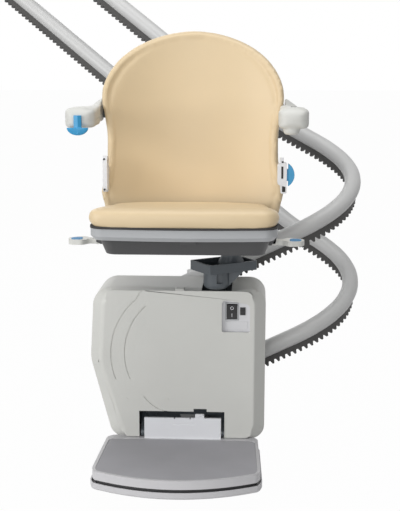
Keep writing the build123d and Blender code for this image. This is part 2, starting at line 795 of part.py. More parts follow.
def make_footrest():
    height = foot_top_z - foot_plate_bottom_z
    plate = extrude(Pos(0, 0, foot_plate_bottom_z) * foot_outline(0), amount=height)
    plate = fillet(plate.edges().group_by(Axis.Z)[-1], 2.5)
    pocket = Pos(0, 0, foot_top_z - mat_recess) * foot_outline(-foot_rim)
    plate -= extrude(pocket, amount=mat_recess + 1)
    # hinge upstand that rises into the opening of the carriage cover
    y0 = foot_hinge_y - 13
    profile = make_face(
        Polyline(
            (y0 - 4, foot_top_z - mat_recess - 1),
            (y0, foot_top_z + 6),
            (y0, upstand_top_z),
            (y0 + 7, upstand_top_z),
            (y0 + 8, foot_hinge_z + 8),
            (foot_hinge_y, foot_hinge_z + 8),
            (foot_hinge_y, foot_top_z - mat_recess - 1),
            close=True,
        )
    )
    upstand = side_slab(profile, *upstand_x) + rod_x(8, *upstand_x, foot_hinge_y, foot_hinge_z)
    tab = block((12, 34), (y0, y0 + 7), (upstand_top_z - 1, upstand_top_z + 10))
    upstand += fillet(tab.edges().filter_by(Axis.Y).group_by(Axis.Z)[-1], 2)
    for x in (-38, 0):
        upstand -= block((x - 1.5, x + 1.5), (y0 - 1, y0 + 8), (upstand_top_z - 3, upstand_top_z + 1))
    upstand -= block((-43, 11), (y0 - 1, y0 + 1.2), (121, 123))
    plate += upstand
    across_hinge = (upstand_x[0] - 1, upstand_x[1] + 1)
    plate -= rod_x(foot_pin_radius + running_clearance, *across_hinge, foot_hinge_y, foot_hinge_z)
    save(plate, "footrest_plate")
    mat_plan = foot_outline(-foot_rim - 0.2)
    mat = extrude(Pos(0, 0, foot_top_z - mat_recess) * mat_plan, amount=mat_recess - 0.5)
    hole = block(across_hinge, (y0 - 5, foot_rear_y), (foot_plate_bottom_z, foot_top_z + 1))
    save(mat - hole, "footrest_mat")
    seal = Pos(0, 0, pan_bottom_z + pan_wall + pan_lift + 2) * foot_outline(-seal_inset)
    save(extrude(seal, amount=foot_plate_bottom_z - pan_bottom_z - pan_wall - pan_lift - 2), "footrest_seal")
    pan = extrude(Pos(0, 0, pan_bottom_z) * foot_outline(pan_grow), amount=pan_top_z - pan_bottom_z)
    pan = fillet(pan.edges().group_by(Axis.Z)[0], 6)
    pan -= extrude(Pos(0, 0, pan_bottom_z + pan_wall) * foot_outline(pan_grow - pan_wall), amount=50)
    save(pan, "footrest_safety_pan")
    ears = None
    for x0, x1 in ((upstand_x[0] - 9, upstand_x[0] - 1), (upstand_x[1] + 1, upstand_x[1] + 7)):
        shape = make_face(
            Polyline(
                (foot_hinge_y - 1, foot_hinge_z + 9),
                (foot_hinge_y + 8, foot_hinge_z - 5),
                (chassis_y - 40, foot_hinge_z - 5),
                (chassis_y - 40, foot_hinge_z + 62),
                (foot_hinge_y + 50, foot_hinge_z + 50),
                close=True,
            )
        )
        ear = side_slab(shape, x0, x1) + rod_x(9, x0, x1, foot_hinge_y, foot_hinge_z)
        ears = ear if ears is None else ears + ear
    beam = (upstand_x[0] - 9, upstand_x[1] + 7)
    bracket = ears
    for x0, x1 in ((beam[0], beam[0] + 30), (beam[1] - 16, beam[1])):
        bracket += block((x0, x1), (chassis_y - 46, chassis_y), (foot_hinge_z + 20, foot_hinge_z + 62))
    high = (foot_hinge_z + 30, foot_hinge_z + 62)
    bracket += block(beam, (chassis_y - 60, chassis_y - 54), high)
    bracket += block((beam[0], beam[0] + 30), (chassis_y - 60, chassis_y - 45), high)
    bracket += block((beam[1] - 16, beam[1]), (chassis_y - 60, chassis_y - 45), high)
    bracket -= rod_x(foot_pin_radius, beam[0] - 1, beam[1] + 1, foot_hinge_y, foot_hinge_z)
    save(bracket, "footrest_bracket")
    save(rod_x(foot_pin_radius, beam[0], beam[1], foot_hinge_y, foot_hinge_z), "footrest_hinge_pin")


# ---- seat ------------------------------------------------------------------------------
def seat_outline(inset, rear_y, front_y):
    """Plan of the seat: bowed front, round corners, sides drawn in towards the backrest."""
    wide = seat_half_width - inset
    narrow = seat_rear_half_width - inset
    front_corner = front_y + 16
    widest = front_y + 72
    drawn_in = seat_front_y + 198
    last = rear_y - 38
    sides = [(-wide, front_corner), (-wide, widest), (-narrow, drawn_in)]
    left = sides + [(-narrow + 4, rear_y - 95), (-146, last)]
    right = [(-x, y) for x, y in left]
    plan = make_face(
        [
            ThreePointArc(left[0], (0, front_y), right[0]),
            Polyline(*right),
            ThreePointArc(right[-1], (0, rear_y), left[-1]),
            Polyline(*reversed(left)),
        ]
    )
    for point in (left[0], right[0]):
        corner = plan.vertices().sort_by_distance((point[0], point[1], 0))[0]
        plan = fillet(corner, 34)
    for point in left[1:4] + right[1:4]:
        corner = plan.vertices().sort_by_distance((point[0], point[1], 0))[0]
        plan = fillet(corner, 30)
    return plan


def make_seat():
    """Light tray that folds up, with its padded top."""
    edge = seat_half_width - seat_tray_half
    plan = seat_outline(edge, seat_rear_y - 15, seat_front_y + 8)
    height = seat_tray_top_z - seat_tray_bottom_z
    tray = extrude(Pos(0, 0, seat_tray_bottom_z) * plan, amount=height)
    tray = chamfer(tray.edges().group_by(Axis.Z)[0], 9)
    inner = seat_outline(edge + 16, seat_rear_y - 42, seat_front_y + 24)
    tray -= extrude(Pos(0, 0, pad_inner_z) * inner, amount=60)
    slot_x = (hinge_ear_x[0] - hinge_slot_gap, hinge_ear_x[1] + hinge_slot_gap)
    hub_x = (slot_x[0] - hinge_hub_width, slot_x[1] + hinge_hub_width)
    hub = rod_x(hinge_hub_radius, *hub_x, hinge_y, hinge_z)
    hub_y = (hinge_y - hinge_hub_radius, hinge_y + hinge_hub_radius)
    hub += block(hub_x, hub_y, (seat_tray_bottom_z + 3, hinge_z))
    tray = tray + hub + mirror(hub, about=Plane.YZ)
    slot = block(slot_x, (hinge_y - 14, seat_rear_y + 20), (seat_tray_bottom_z - 10, hinge_slot_top))
    slot += rod_x(hinge_pin_radius + running_clearance, *hub_x, hinge_y, hinge_z)
    tray = tray - slot - mirror(slot, about=Plane.YZ)
    save(tray, "seat_tray")
    lower = extrude(
        Pos(0, 0, pad_inner_z) * seat_outline(edge + 17, seat_rear_y - 43.5, seat_front_y + 25.5),
        amount=seat_tray_top_z - pad_inner_z + 1,
    )
    upper = extrude(
        Pos(0, 0, seat_tray_top_z) * seat_outline(0, seat_rear_y, seat_front_y),
        amount=pad_front_z - seat_tray_top_z + 20,
    )
    depth = seat_rear_y - seat_front_y
    fall = math.degrees(math.atan2(pad_front_z - pad_rear_z, depth))
    cutter = Pos(0, depth / 2, 50) * Box(3 * seat_half_width, 2 * depth, 100)
    upper -= Pos(0, seat_front_y, pad_front_z) * Rot(-fall, 0, 0) * cutter
    upper = fillet(upper.faces().sort_by(Axis.Z)[-1].edges(), pad_edge_radius)
    room_x = (hub_x[0] - 1, hub_x[1] + 1)
    room = block(room_x, (hinge_y - 15, seat_rear_y), (pad_inner_z - 1, hinge_slot_top))
    save(upper + lower - room - mirror(room, about=Plane.YZ), "seat_pad")


def base_cover_body():
    """The dark lower housing as a solid block, wider at the top."""
    y0, y1 = base_cover_y
    half_top, half_bottom = base_cover_half
    middle = (y0 + y1) / 2
    foot_z = base_plate_top_z - base_plate_thickness
    top = Pos(0, middle, base_cover_top_z) * RectangleRounded(2 * half_top, y1 - y0, 30)
    bottom = Pos(0, middle + 6, foot_z) * RectangleRounded(2 * half_bottom, y1 - y0 - 24, 26)
    return loft([bottom, top], ruled=True)


def make_seat_base():
    """Steel base plate with the swivel post, hinge ears, and the dark lower housing."""
    z0, z1 = base_plate_top_z - base_plate_thickness, base_plate_top_z
    rear = back_y + back_pad_thickness + back_shell_thickness + 4
    plate = block((-base_plate_x, base_plate_x), (seat_front_y + 100, rear), (z0, z1))
    reach = hinge_hub_radius
    upper = [(hinge_y + reach, hinge_z + reach), (hinge_y - reach, hinge_z + reach)]
    outline = rounded([(hinge_y - reach - 2, z0), (hinge_y + reach + 2, z0)] + upper, (0, 0, 9, 9))
    ear = side_slab(outline, *hinge_ear_x)
    ear -= rod_x(hinge_pin_radius, hinge_ear_x[0] - 1, hinge_ear_x[1] + 1, hinge_y, hinge_z)
    save(plate + ear + mirror(ear, about=Plane.YZ), "seat_base_plate")
    over = hinge_slot_gap + hinge_hub_width
    pin = rod_x(hinge_pin_radius, hinge_ear_x[0] - over, hinge_ear_x[1] + over, hinge_y, hinge_z)
    save(mirrored_pair(pin), "seat_hinge_pins")
    profile = make_face(
        Polyline(
            (0, tray_bottom_z),
            (swivel_spigot_radius, tray_bottom_z),
            (swivel_spigot_radius, tray_floor_z + swivel_gap),
            (swivel_flange_radius, tray_floor_z + swivel_gap),
            (swivel_flange_radius, tray_floor_z + 8),
            (swivel_post_radius, tray_floor_z + 24),
            (swivel_post_radius, z0 - 6),
            (swivel_post_radius + 8, z0),
            (0, z0),
            close=True,
        )
    )
    post = Pos(pivot_x, pivot_y, 0) * revolve(Plane.XZ * profile, axis=Axis.Z)
    save(post, "swivel_post")
    cover = base_cover_body()
    cover -= block((-base_plate_x, base_plate_x), (seat_front_y + 100, base_cover_y[1] + 1), (z0 - 1, z1))
    save(cover, "seat_base_cover")


def leaned(shape):
    """Leans a shape that stands at the backrest's foot."""
    return Pos(0, back_y, back_lean_z) * Rot(-back_lean, 0, 0) * shape


def back_outline(inset):
    """Front view of the backrest: round top, slight waist, wings at the foot."""
    top, waist, wing, foot = (half - inset for half in back_half_widths)
    low = back_bottom_z + inset
    rise = back_top_z - inset - back_shoulder_z
    return make_face(
        [
            EllipticalCenterArc((0, back_shoulder_z), top, rise, start_angle=0, arc_size=180),
            ThreePointArc((-top, back_shoulder_z), (-waist, back_waist_z), (-wing, back_wing_z)),
            Polyline((-wing, back_wing_z), (-foot, low), (foot, low), (wing, back_wing_z)),
            ThreePointArc((wing, back_wing_z), (waist, back_waist_z), (top, back_shoulder_z)),
        ]
    )


def back_band(inner, outer):
    """Upright ring, leaned back: its rear part is the backrest's curve."""
    height = back_top_z - back_bottom_z + 120
    ring = extrude(Circle(outer) - Circle(inner), amount=height)
    return leaned(Pos(0, -back_radius, -80) * ring)


def back_layer(inner, outer, inset):
    """The part of a leaned ring that lies within the backrest's outline."""
    prism = front_slab(back_outline(inset), back_y - 130, back_y + 150)
    layer = back_band(inner, outer) & prism
    return layer.solids().sort_by(SortBy.VOLUME)[-1]


def back_pad():
    return back_layer(back_radius, back_radius + back_pad_thickness, 0)


def back_shell():
    inner = back_radius + back_pad_thickness
    return back_layer(inner, inner + back_shell_thickness, shell_inset)


def make_backrest():
    save(back_pad(), "backrest_pad")
    save(back_shell(), "backrest_shell")


def make_back_frame():
    """Two steel uprights, the cross tube that carries the arms, and its cheeks."""
    z0 = base_plate_top_z
    shell_back = back_y - back_radius + math.sqrt(
        (back_radius + back_pad_thickness + back_shell_thickness) ** 2 - (upright_x - upright_width / 2) ** 2
    )
    lean = math.tan(math.radians(back_lean))
    front = shell_back + upright_gap + (z0 - back_lean_z) * lean
    top_z = arm_pivot_z + 18
    rise = (top_z - z0) * lean
    profile = make_face(
        Polyline(
            (front, z0),
            (front + rise, top_z),
            (front + rise + upright_thickness, top_z),
            (front + upright_thickness, z0),
            close=True,
        )
    )
    upright = side_slab(profile, upright_x - upright_width / 2, upright_x + upright_width / 2)
    tube_y = front + (arm_pivot_z - z0) * lean + upright_thickness + cross_tube_radius - 1
    frame = upright + mirror(upright, about=Plane.YZ)
    cheek_x = arm_rear_inner_x - 2
    frame += rod_x(cross_tube_radius, -cheek_x, cheek_x, tube_y, arm_pivot_z)
    cheek = side_slab(
        rounded(
            [
                (arm_pivot_y - 16, arm_pivot_z - 16),
                (tube_y + 16, arm_pivot_z - 16),
                (tube_y + 16, arm_pivot_z + 16),
                (arm_pivot_y - 16, arm_pivot_z + 16),
            ],
            (12, 12, 12, 12),
        ),
        cheek_x - cheek_thickness,
        cheek_x,
    )
    pin = rod_x(arm_pin_radius, cheek_x - cheek_thickness, arm_outer_x - 10, arm_pivot_y, arm_pivot_z)
    frame += cheek + pin
    frame += mirror(cheek + pin, about=Plane.YZ)
    bosses = None
    for z in (back_bottom_z + 50, arm_pivot_z - 50):
        y = front + (z - z0) * lean + 2
        boss = rod_y(11, y - 40, y, upright_x, z)
        bosses = boss if bosses is None else bosses + boss
    bosses += mirror(bosses, about=Plane.YZ)
    bosses = bosses - back_shell() - back_layer(back_radius - 40, back_radius + back_pad_thickness, 0)
    save(frame + bosses, "back_frame")


# ---- arms ------------------------------------------------------------------------------
def arm_body():
    """Left-hand arm on the +X side: hub at the rear, long pad, blunt front end."""
    side = rounded(
        [
            (arm_front_y, arm_bottom_z),
            (arm_pivot_y - 60, arm_bottom_z - 2),
            (arm_pivot_y, arm_pivot_z - arm_hub_radius),
            (arm_pivot_y + arm_hub_radius, arm_pivot_z),
            (arm_pivot_y, arm_pivot_z + arm_hub_radius + 6),
            (arm_pivot_y - 60, arm_top_z - 12),
            (arm_pivot_y - 170, arm_top_z - 4),
            (arm_front_y, arm_top_z),
        ],
        (12, 30, 12, 16, 14, 50, 80, 18),
    )
    plan = rounded(
        [
            (arm_inner_x, arm_front_y),
            (arm_outer_x, arm_front_y),
            (arm_outer_x, arm_pivot_y - 90),
            (arm_outer_x - 8, arm_pivot_y + 40),
            (arm_rear_inner_x, arm_pivot_y + 40),
            (arm_rear_inner_x, arm_pivot_y - 90),
            (arm_inner_x, arm_pivot_y - 170),
        ],
        (22, 22, 60, 8, 4, 40, 40),
    )
    body = side_slab(side, arm_inner_x - 1, arm_outer_x + 1)
    body &= extrude(Pos(0, 0, arm_bottom_z - 30) * plan, amount=100)
    low, high = arm_bottom_z - 3, arm_top_z + 6
    inner, outer = arm_inner_x - 1, arm_outer_x + 1
    section = rounded([(inner, low), (outer, low), (outer, high), (inner, high)], (12, 12, 16, 16))
    body &= front_slab(section, arm_front_y - 1, arm_pivot_y + 50)
    bore_radius = arm_pin_radius + running_clearance
    body -= rod_x(bore_radius, arm_inner_x, arm_outer_x - 9.5, arm_pivot_y, arm_pivot_z)
    return body


def make_arms():
    right = arm_body()
    left = mirror(arm_body(), about=Plane.YZ)
    boss_y = arm_front_y + 21
    boss = rod_z(15, arm_bottom_z - 14, arm_bottom_z + 3, -toggle_x - 6, boss_y)
    right += fillet(boss.edges().group_by(Axis.Z)[0], 4)
    save(right, "armrest_plus_x")
    shaft = (arm_front_y - 1, arm_front_y + toggle_shaft_depth + 0.5)
    left -= rod_y(toggle_shaft_radius + running_clearance, *shaft, toggle_x, toggle_pivot_z)
    save(left, "armrest_minus_x")
    blade = rounded(
        [
            (toggle_x - 6, toggle_pivot_z + 11),
            (toggle_x + 6, toggle_pivot_z + 11),
            (toggle_x + 8, arm_bottom_z + 2),
            (toggle_x + 23, arm_bottom_z - 1),
            (toggle_x + 20, arm_bottom_z - 17),
            (toggle_x - 20, arm_bottom_z - 17),
            (toggle_x - 23, arm_bottom_z - 1),
            (toggle_x - 8, arm_bottom_z + 2),
        ],
        (5, 5, 2, 3, 12, 12, 3, 2),
    )
    toggle = front_slab(blade, arm_front_y - 11, arm_front_y - toggle_gap)
    shaft = (arm_front_y - 2, arm_front_y + toggle_shaft_depth)
    toggle += rod_y(toggle_shaft_radius, *shaft, toggle_x, toggle_pivot_z)
    save(toggle, "direction_toggle")


# ---- levers and belt fittings ----------------------------------------------------------
def make_levers():
    y0, y1 = lever_y - 14, lever_y + 14
    across_x = (base_cover_half[1], lever_pin_x + 6)
    bracket = block(across_x, (y0 - 5, y1 + 5), (lever_z - 11, base_cover_top_z + 1))
    bracket -= block((lever_pin_x - 9, lever_pin_x + 20), (y0, y1), (lever_z - 20, lever_z + 30))
    bracket += rod_y(lever_pin_radius, y0 - 1, y1 + 1, lever_pin_x, lever_z)
    bracket -= base_cover_body()
    save(mirrored_pair(bracket), "lever_brackets")
    hub = rod_y(7.5, y0 + 0.4, y1 - 0.4, lever_pin_x, lever_z)
    plan = rounded(
        [
            (lever_pin_x, lever_y - 10),
            (lever_end_x - 49, lever_y - 10),
            (lever_end_x - 36, lever_y - 30),
            (lever_end_x - 6, lever_y - 26),
            (lever_end_x, lever_y + 6),
            (lever_end_x - 36, lever_y + 30),
            (lever_end_x - 49, lever_y + 10),
            (lever_pin_x, lever_y + 10),
        ],
        (0, 8, 12, 14, 18, 12, 8, 0),
    )
    paddle = extrude(Pos(0, 0, lever_z - 7) * plan, amount=11)
    well = rounded(
        [
            (lever_end_x - 35, lever_y - 22),
            (lever_end_x - 11, lever_y - 20),
            (lever_end_x - 7, lever_y + 3),
            (lever_end_x - 33, lever_y + 19),
        ],
        (8, 9, 12, 10),
    )
    paddle -= extrude(Pos(0, 0, lever_z + 2.5) * well, amount=10)
    lever = paddle + hub
    lever -= rod_y(lever_pin_radius + running_clearance, y0 - 2, y1 + 2, lever_pin_x, lever_z)
    save(lever, "swivel_lever_plus_x")
    save(mirror(lever, about=Plane.YZ), "swivel_lever_minus_x")


def make_belt_fittings():
    pad = back_pad()
    wide, deep, tall = belt_guide_size
    x0 = -belt_guide_x - wide / 2
    x1 = x0 + wide
    low, high = belt_guide_z - tall / 2, belt_guide_z + tall / 2
    guide = block((x0, x1), (belt_guide_y, belt_guide_y + deep), (low, high))
    guide = fillet(guide.edges().filter_by(Axis.X), 12)
    slot = block((x0 - 1, x1 + 1), (belt_guide_y + 9, belt_guide_y + 17), (low + 16, high - 14))
    guide -= fillet(slot.edges().filter_by(Axis.X), 3)
    stem_z = (belt_guide_z - 14, belt_guide_z + 14)
    guide += block((x0 + 2, x1 - 1), (belt_guide_y + deep - 4, back_y - 30), stem_z)
    save(guide - pad, "belt_guide")
    x0, x1 = 205.0, 227.0
    y0, y1 = buckle_y, buckle_y + 26
    buckle = front_slab(rounded([(x0, 706), (x1, 700), (x1, 757), (x0, 757)], (8, 3, 3, 8)), y0, y1)
    buckle -= block((214, 219), (y0 - 1, y0 + 14), (720, 749))
    buckle += block((210, 220), (y1 - 9, y1 - 1), (756, 768))
    buckle += block((207, 222), (y1 - 1, back_y - 40), (716, 746))
    buckle -= block((x1 - 5, x1 + 1), (y0 + 5, y1 - 5), (714, 742))
    save(buckle - pad, "belt_buckle")
    arc = ThreePointArc((x1 + 3.5, 702), (x1 + 18, 724), (x1 + 3.5, 755))
    button = front_slab(make_face([arc, Line((x1 + 3.5, 755), (x1 + 3.5, 702))]), y0 + 2, y1 - 2)
    button += block((x1 - 1, x1 + 4), (y0 + 5.3, y1 - 5.3), (714.3, 741.7))
    save(button, "belt_release_button")
    outline = [(213, 684), (227, 684), (227, 699.5), (211, 703.5)]
    clip = front_slab(rounded(outline, (3, 3, 0, 0)), y0 + 6, y1 - 4)
    clip -= block((217, 224), (y0 + 5, y1 + 2), (689, 697))
    save(clip, "belt_clip")


def main():
    os.makedirs("parts", exist_ok=True)
    make_rail()
    make_rail_ends()
    make_foot()
    make_running_gear()
    make_cover()
    make_switch()
    make_chassis()
    make_column()
    make_footrest()
    make_seat()
    make_seat_base()
    make_backrest()
    make_back_frame()
    make_arms()
    make_levers()
    make_belt_fittings()


main()
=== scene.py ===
# %% [markdown]
# # A stairlift chair on its curved rail
# This lesson dresses a imported CAD model of a stairlift: a padded swivel chair on a
# carriage that climbs two toothed tubes. The CAD model is the frame. It says where
# each rigid piece is, and nothing here moves it. We load it first. The dressed model
# may not outgrow it.

# %% Load the frame
import json
import math

import bpy
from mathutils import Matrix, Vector
from mathutils.kdtree import KDTree


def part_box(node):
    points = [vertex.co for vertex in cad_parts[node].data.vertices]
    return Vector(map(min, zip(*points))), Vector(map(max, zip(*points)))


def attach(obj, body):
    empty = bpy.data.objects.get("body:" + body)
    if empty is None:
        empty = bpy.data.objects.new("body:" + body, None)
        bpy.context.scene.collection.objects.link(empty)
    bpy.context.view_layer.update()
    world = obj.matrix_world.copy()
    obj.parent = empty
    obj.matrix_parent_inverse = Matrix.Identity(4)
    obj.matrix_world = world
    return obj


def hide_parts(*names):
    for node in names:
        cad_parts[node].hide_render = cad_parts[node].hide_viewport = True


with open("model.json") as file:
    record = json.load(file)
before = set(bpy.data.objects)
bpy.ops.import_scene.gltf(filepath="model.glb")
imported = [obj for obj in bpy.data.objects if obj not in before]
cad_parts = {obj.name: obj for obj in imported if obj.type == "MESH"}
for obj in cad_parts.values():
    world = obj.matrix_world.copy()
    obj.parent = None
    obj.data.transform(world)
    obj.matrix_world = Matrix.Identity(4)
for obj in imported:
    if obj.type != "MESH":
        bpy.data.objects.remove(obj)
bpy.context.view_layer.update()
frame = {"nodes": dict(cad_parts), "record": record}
nodes = frame["nodes"]


# %% [markdown]
# ## The camera
# The picture to match was taken from just above the armrests, slightly to the
# sitter's left, looking a little down. Its place, tilt and focal length were worked
# out from the chair's own sizes, so we type them in and never nudge them by eye.

# %% Set up the camera
CAMERA_PLACE = (0.158, -2.825, 1.006)
CAMERA_TILT = 10.3
CAMERA_TURN = 3.0
LENS = 77.5

bpy.ops.object.camera_add(location=CAMERA_PLACE)
camera = bpy.context.object
camera.name = "picture_camera"
camera.rotation_euler = (math.radians(90 - CAMERA_TILT), 0, math.radians(CAMERA_TURN))
camera.data.lens = LENS
camera.data.sensor_width = 36.0
camera.data.clip_end = 100.0
bpy.context.scene.camera = camera
print("camera", CAMERA_PLACE, "tilted", CAMERA_TILT, "turned", CAMERA_TURN, "lens", LENS)

# %% [markdown]
# ## Floor and backdrop
# A product picture is lit by big soft boxes and cut out on white. Lamps strong enough
# to burn the floor white would burn the chair too. So a plain matt floor catches a
# soft shadow, and only rays that see it directly or in a reflection find it mixed
# with a plain white emission. The world is made in the same way.

# %% A floor and a world that read as white
FLOOR_TONE = 0.62
FLOOR_WHITE = 0.98
WORLD_STRENGTH = 0.14

scene = bpy.context.scene
scene.view_settings.view_transform = "Standard"


def seen_directly(tree):
    """A value that is 1 for camera and mirror rays, and 0 for the light itself."""
    ray = tree.nodes.new("ShaderNodeLightPath")
    seen = tree.nodes.new("ShaderNodeMath")
    seen.operation = "MAXIMUM"
    tree.links.new(ray.outputs["Is Camera Ray"], seen.inputs[0])
    tree.links.new(ray.outputs["Is Glossy Ray"], seen.inputs[1])
    return seen.outputs[0]


def mix_shaders(tree, factor, first, second):
    """The output of a mix of two shaders."""
    mix = tree.nodes.new("ShaderNodeMixShader")
    for socket, source in zip(mix.inputs, (factor, first, second)):
        tree.links.new(source, socket)
    return mix.outputs[0]


def white_to_the_camera(name, tone, share):
    """A pale matt surface that reads as nearly white where it is seen."""
    material = bpy.data.materials.new(name)
    material.use_nodes = True
    tree = material.node_tree
    shader = tree.nodes["Principled BSDF"]
    shader.inputs["Base Color"].default_value = (tone, tone, tone, 1)
    shader.inputs["Roughness"].default_value = 0.9
    glow = tree.nodes.new("ShaderNodeEmission")
    amount = tree.nodes.new("ShaderNodeMath")
    amount.operation = "MULTIPLY"
    amount.inputs[1].default_value = share
    tree.links.new(seen_directly(tree), amount.inputs[0])
    mixed = mix_shaders(tree, amount.outputs[0], shader.outputs[0], glow.outputs[0])
    tree.links.new(mixed, tree.nodes["Material Output"].inputs["Surface"])
    material.cycles.emission_sampling = "NONE"
    return material


bpy.ops.mesh.primitive_plane_add(size=60, location=(0, 0, -0.0005))
floor = bpy.context.object
floor.name = "studio_floor"
floor.data.materials.append(white_to_the_camera("floor_white", FLOOR_TONE, FLOOR_WHITE))

world = bpy.data.worlds.new("studio_world")
scene.world = world
world.use_nodes = True
world_tree = world.node_tree
ambient = world_tree.nodes["Background"]
ambient.inputs["Color"].default_value = (0.95, 0.97, 1.0, 1)
ambient.inputs["Strength"].default_value = WORLD_STRENGTH
white = world_tree.nodes.new("ShaderNodeBackground")
white.inputs["Color"].default_value = (1, 1, 1, 1)
white.inputs["Strength"].default_value = 1.0
backdrop = mix_shaders(
    world_tree, seen_directly(world_tree), ambient.outputs[0], white.outputs[0]
)
world_tree.links.new(backdrop, world_tree.nodes["World Output"].inputs["Surface"])
print("floor and world read as white; the world lights with", WORLD_STRENGTH)

# %% [markdown]
# ## Lamps
# Four square lamps stand in for soft boxes. The key comes from the sitter's right,
# which leaves the far side of each form a little darker, and the other three lift the
# front, the top and the back. One very large lamp would be simpler, but would flatten
# the folds of the cover.

# %% Four soft boxes
CHAIR_MIDDLE = (0.0, -0.3, 0.65)
SOFT_BOXES = (
    # name, place, edge in metres, power in watts
    ("key_left", (-5.6, -4.2, 2.1), 3.2, 222),
    ("front_fill", (-0.3, -3.9, 1.2), 2.0, 37),
    ("top_soft", (0.2, -0.8, 3.6), 2.6, 62),
    ("rear_rim", (-1.2, 2.8, 2.2), 2.2, 16),
)


def soft_box(name, place, size, power):
    """A large square lamp that faces the middle of the chair."""
    bpy.ops.object.light_add(type="AREA", location=place)
    lamp = bpy.context.object
    lamp.name = name
    lamp.data.size = size
    lamp.data.energy = power
    aim = Vector(CHAIR_MIDDLE) - Vector(place)
    lamp.rotation_euler = aim.to_track_quat("-Z", "Y").to_euler()


for settings in SOFT_BOXES:
    soft_box(*settings)
print(len(SOFT_BOXES), "soft boxes,", sum(box[3] for box in SOFT_BOXES), "W together")

# %% [markdown]
# ## Finishes
# Each real surface has its own scale of detail: vinyl has a fine pebble grain,
# moulded plastic a faint spark texture, painted steel a slight orange peel. Scanned
# images would need UV maps. One helper builds them all from noise on object
# coordinates instead, so the grain is in metres and never depends on the camera.

# %% One helper for procedural finishes
RELIEF_STRENGTH = 0.6
GLOSSIER, DULLER = 0.05, 0.07


def shade(red, green, blue):
    """A display colour, 0 to 255, as the linear colour that Blender wants."""

    def linear(value):
        value /= 255
        return value / 12.92 if value <= 0.04045 else ((value + 0.055) / 1.055) ** 2.4

    return (linear(red), linear(green), linear(blue), 1.0)


def finish(name, colour, roughness, grain_mm, depth_mm, blotch_mm, blotch, metallic, cells):
    """A material whose colour, gloss and relief vary at the sizes given in mm."""
    material = bpy.data.materials.new(name)
    material.use_nodes = True
    tree = material.node_tree
    shader = tree.nodes["Principled BSDF"]
    place = tree.nodes.new("ShaderNodeTexCoord")
    blotches = tree.nodes.new("ShaderNodeTexNoise")
    blotches.inputs["Scale"].default_value = 1000 / blotch_mm
    blotches.inputs["Detail"].default_value = 4.0
    tree.links.new(place.outputs["Object"], blotches.inputs["Vector"])
    tones = tree.nodes.new("ShaderNodeValToRGB")
    darker = [channel * (1 - blotch) for channel in colour[:3]] + [1]
    lighter = [min(1.0, channel * (1 + blotch)) for channel in colour[:3]] + [1]
    tones.color_ramp.elements[0].position = 0.3
    tones.color_ramp.elements[0].color = darker
    tones.color_ramp.elements[1].position = 0.7
    tones.color_ramp.elements[1].color = lighter
    tree.links.new(blotches.outputs["Fac"], tones.inputs["Fac"])
    tree.links.new(tones.outputs["Color"], shader.inputs["Base Color"])
    if cells:
        grain = tree.nodes.new("ShaderNodeTexVoronoi")
        grain_out = grain.outputs["Distance"]
    else:
        grain = tree.nodes.new("ShaderNodeTexNoise")
        grain.inputs["Detail"].default_value = 2.0
        grain_out = grain.outputs["Fac"]
    grain.inputs["Scale"].default_value = 1000 / grain_mm
    tree.links.new(place.outputs["Object"], grain.inputs["Vector"])
    relief = tree.nodes.new("ShaderNodeBump")
    relief.inputs["Strength"].default_value = RELIEF_STRENGTH
    relief.inputs["Distance"].default_value = depth_mm / 1000
    tree.links.new(grain_out, relief.inputs["Height"])
    tree.links.new(relief.outputs["Normal"], shader.inputs["Normal"])
    gloss = tree.nodes.new("ShaderNodeMapRange")
    gloss.inputs["To Min"].default_value = roughness - GLOSSIER
    gloss.inputs["To Max"].default_value = roughness + DULLER
    tree.links.new(blotches.outputs["Fac"], gloss.inputs["Value"])
    tree.links.new(gloss.outputs["Result"], shader.inputs["Roughness"])
    shader.inputs["Metallic"].default_value = metallic
    return material


# %% [markdown]
# ## One finish for each kind of surface
# The painted rail is smooth, the racks and the dark castings are coarser, and only
# the vinyl and the foot mat have a pebble grain. The settings could stand in
# Blender's panels, but a table shows side by side how the surfaces differ.

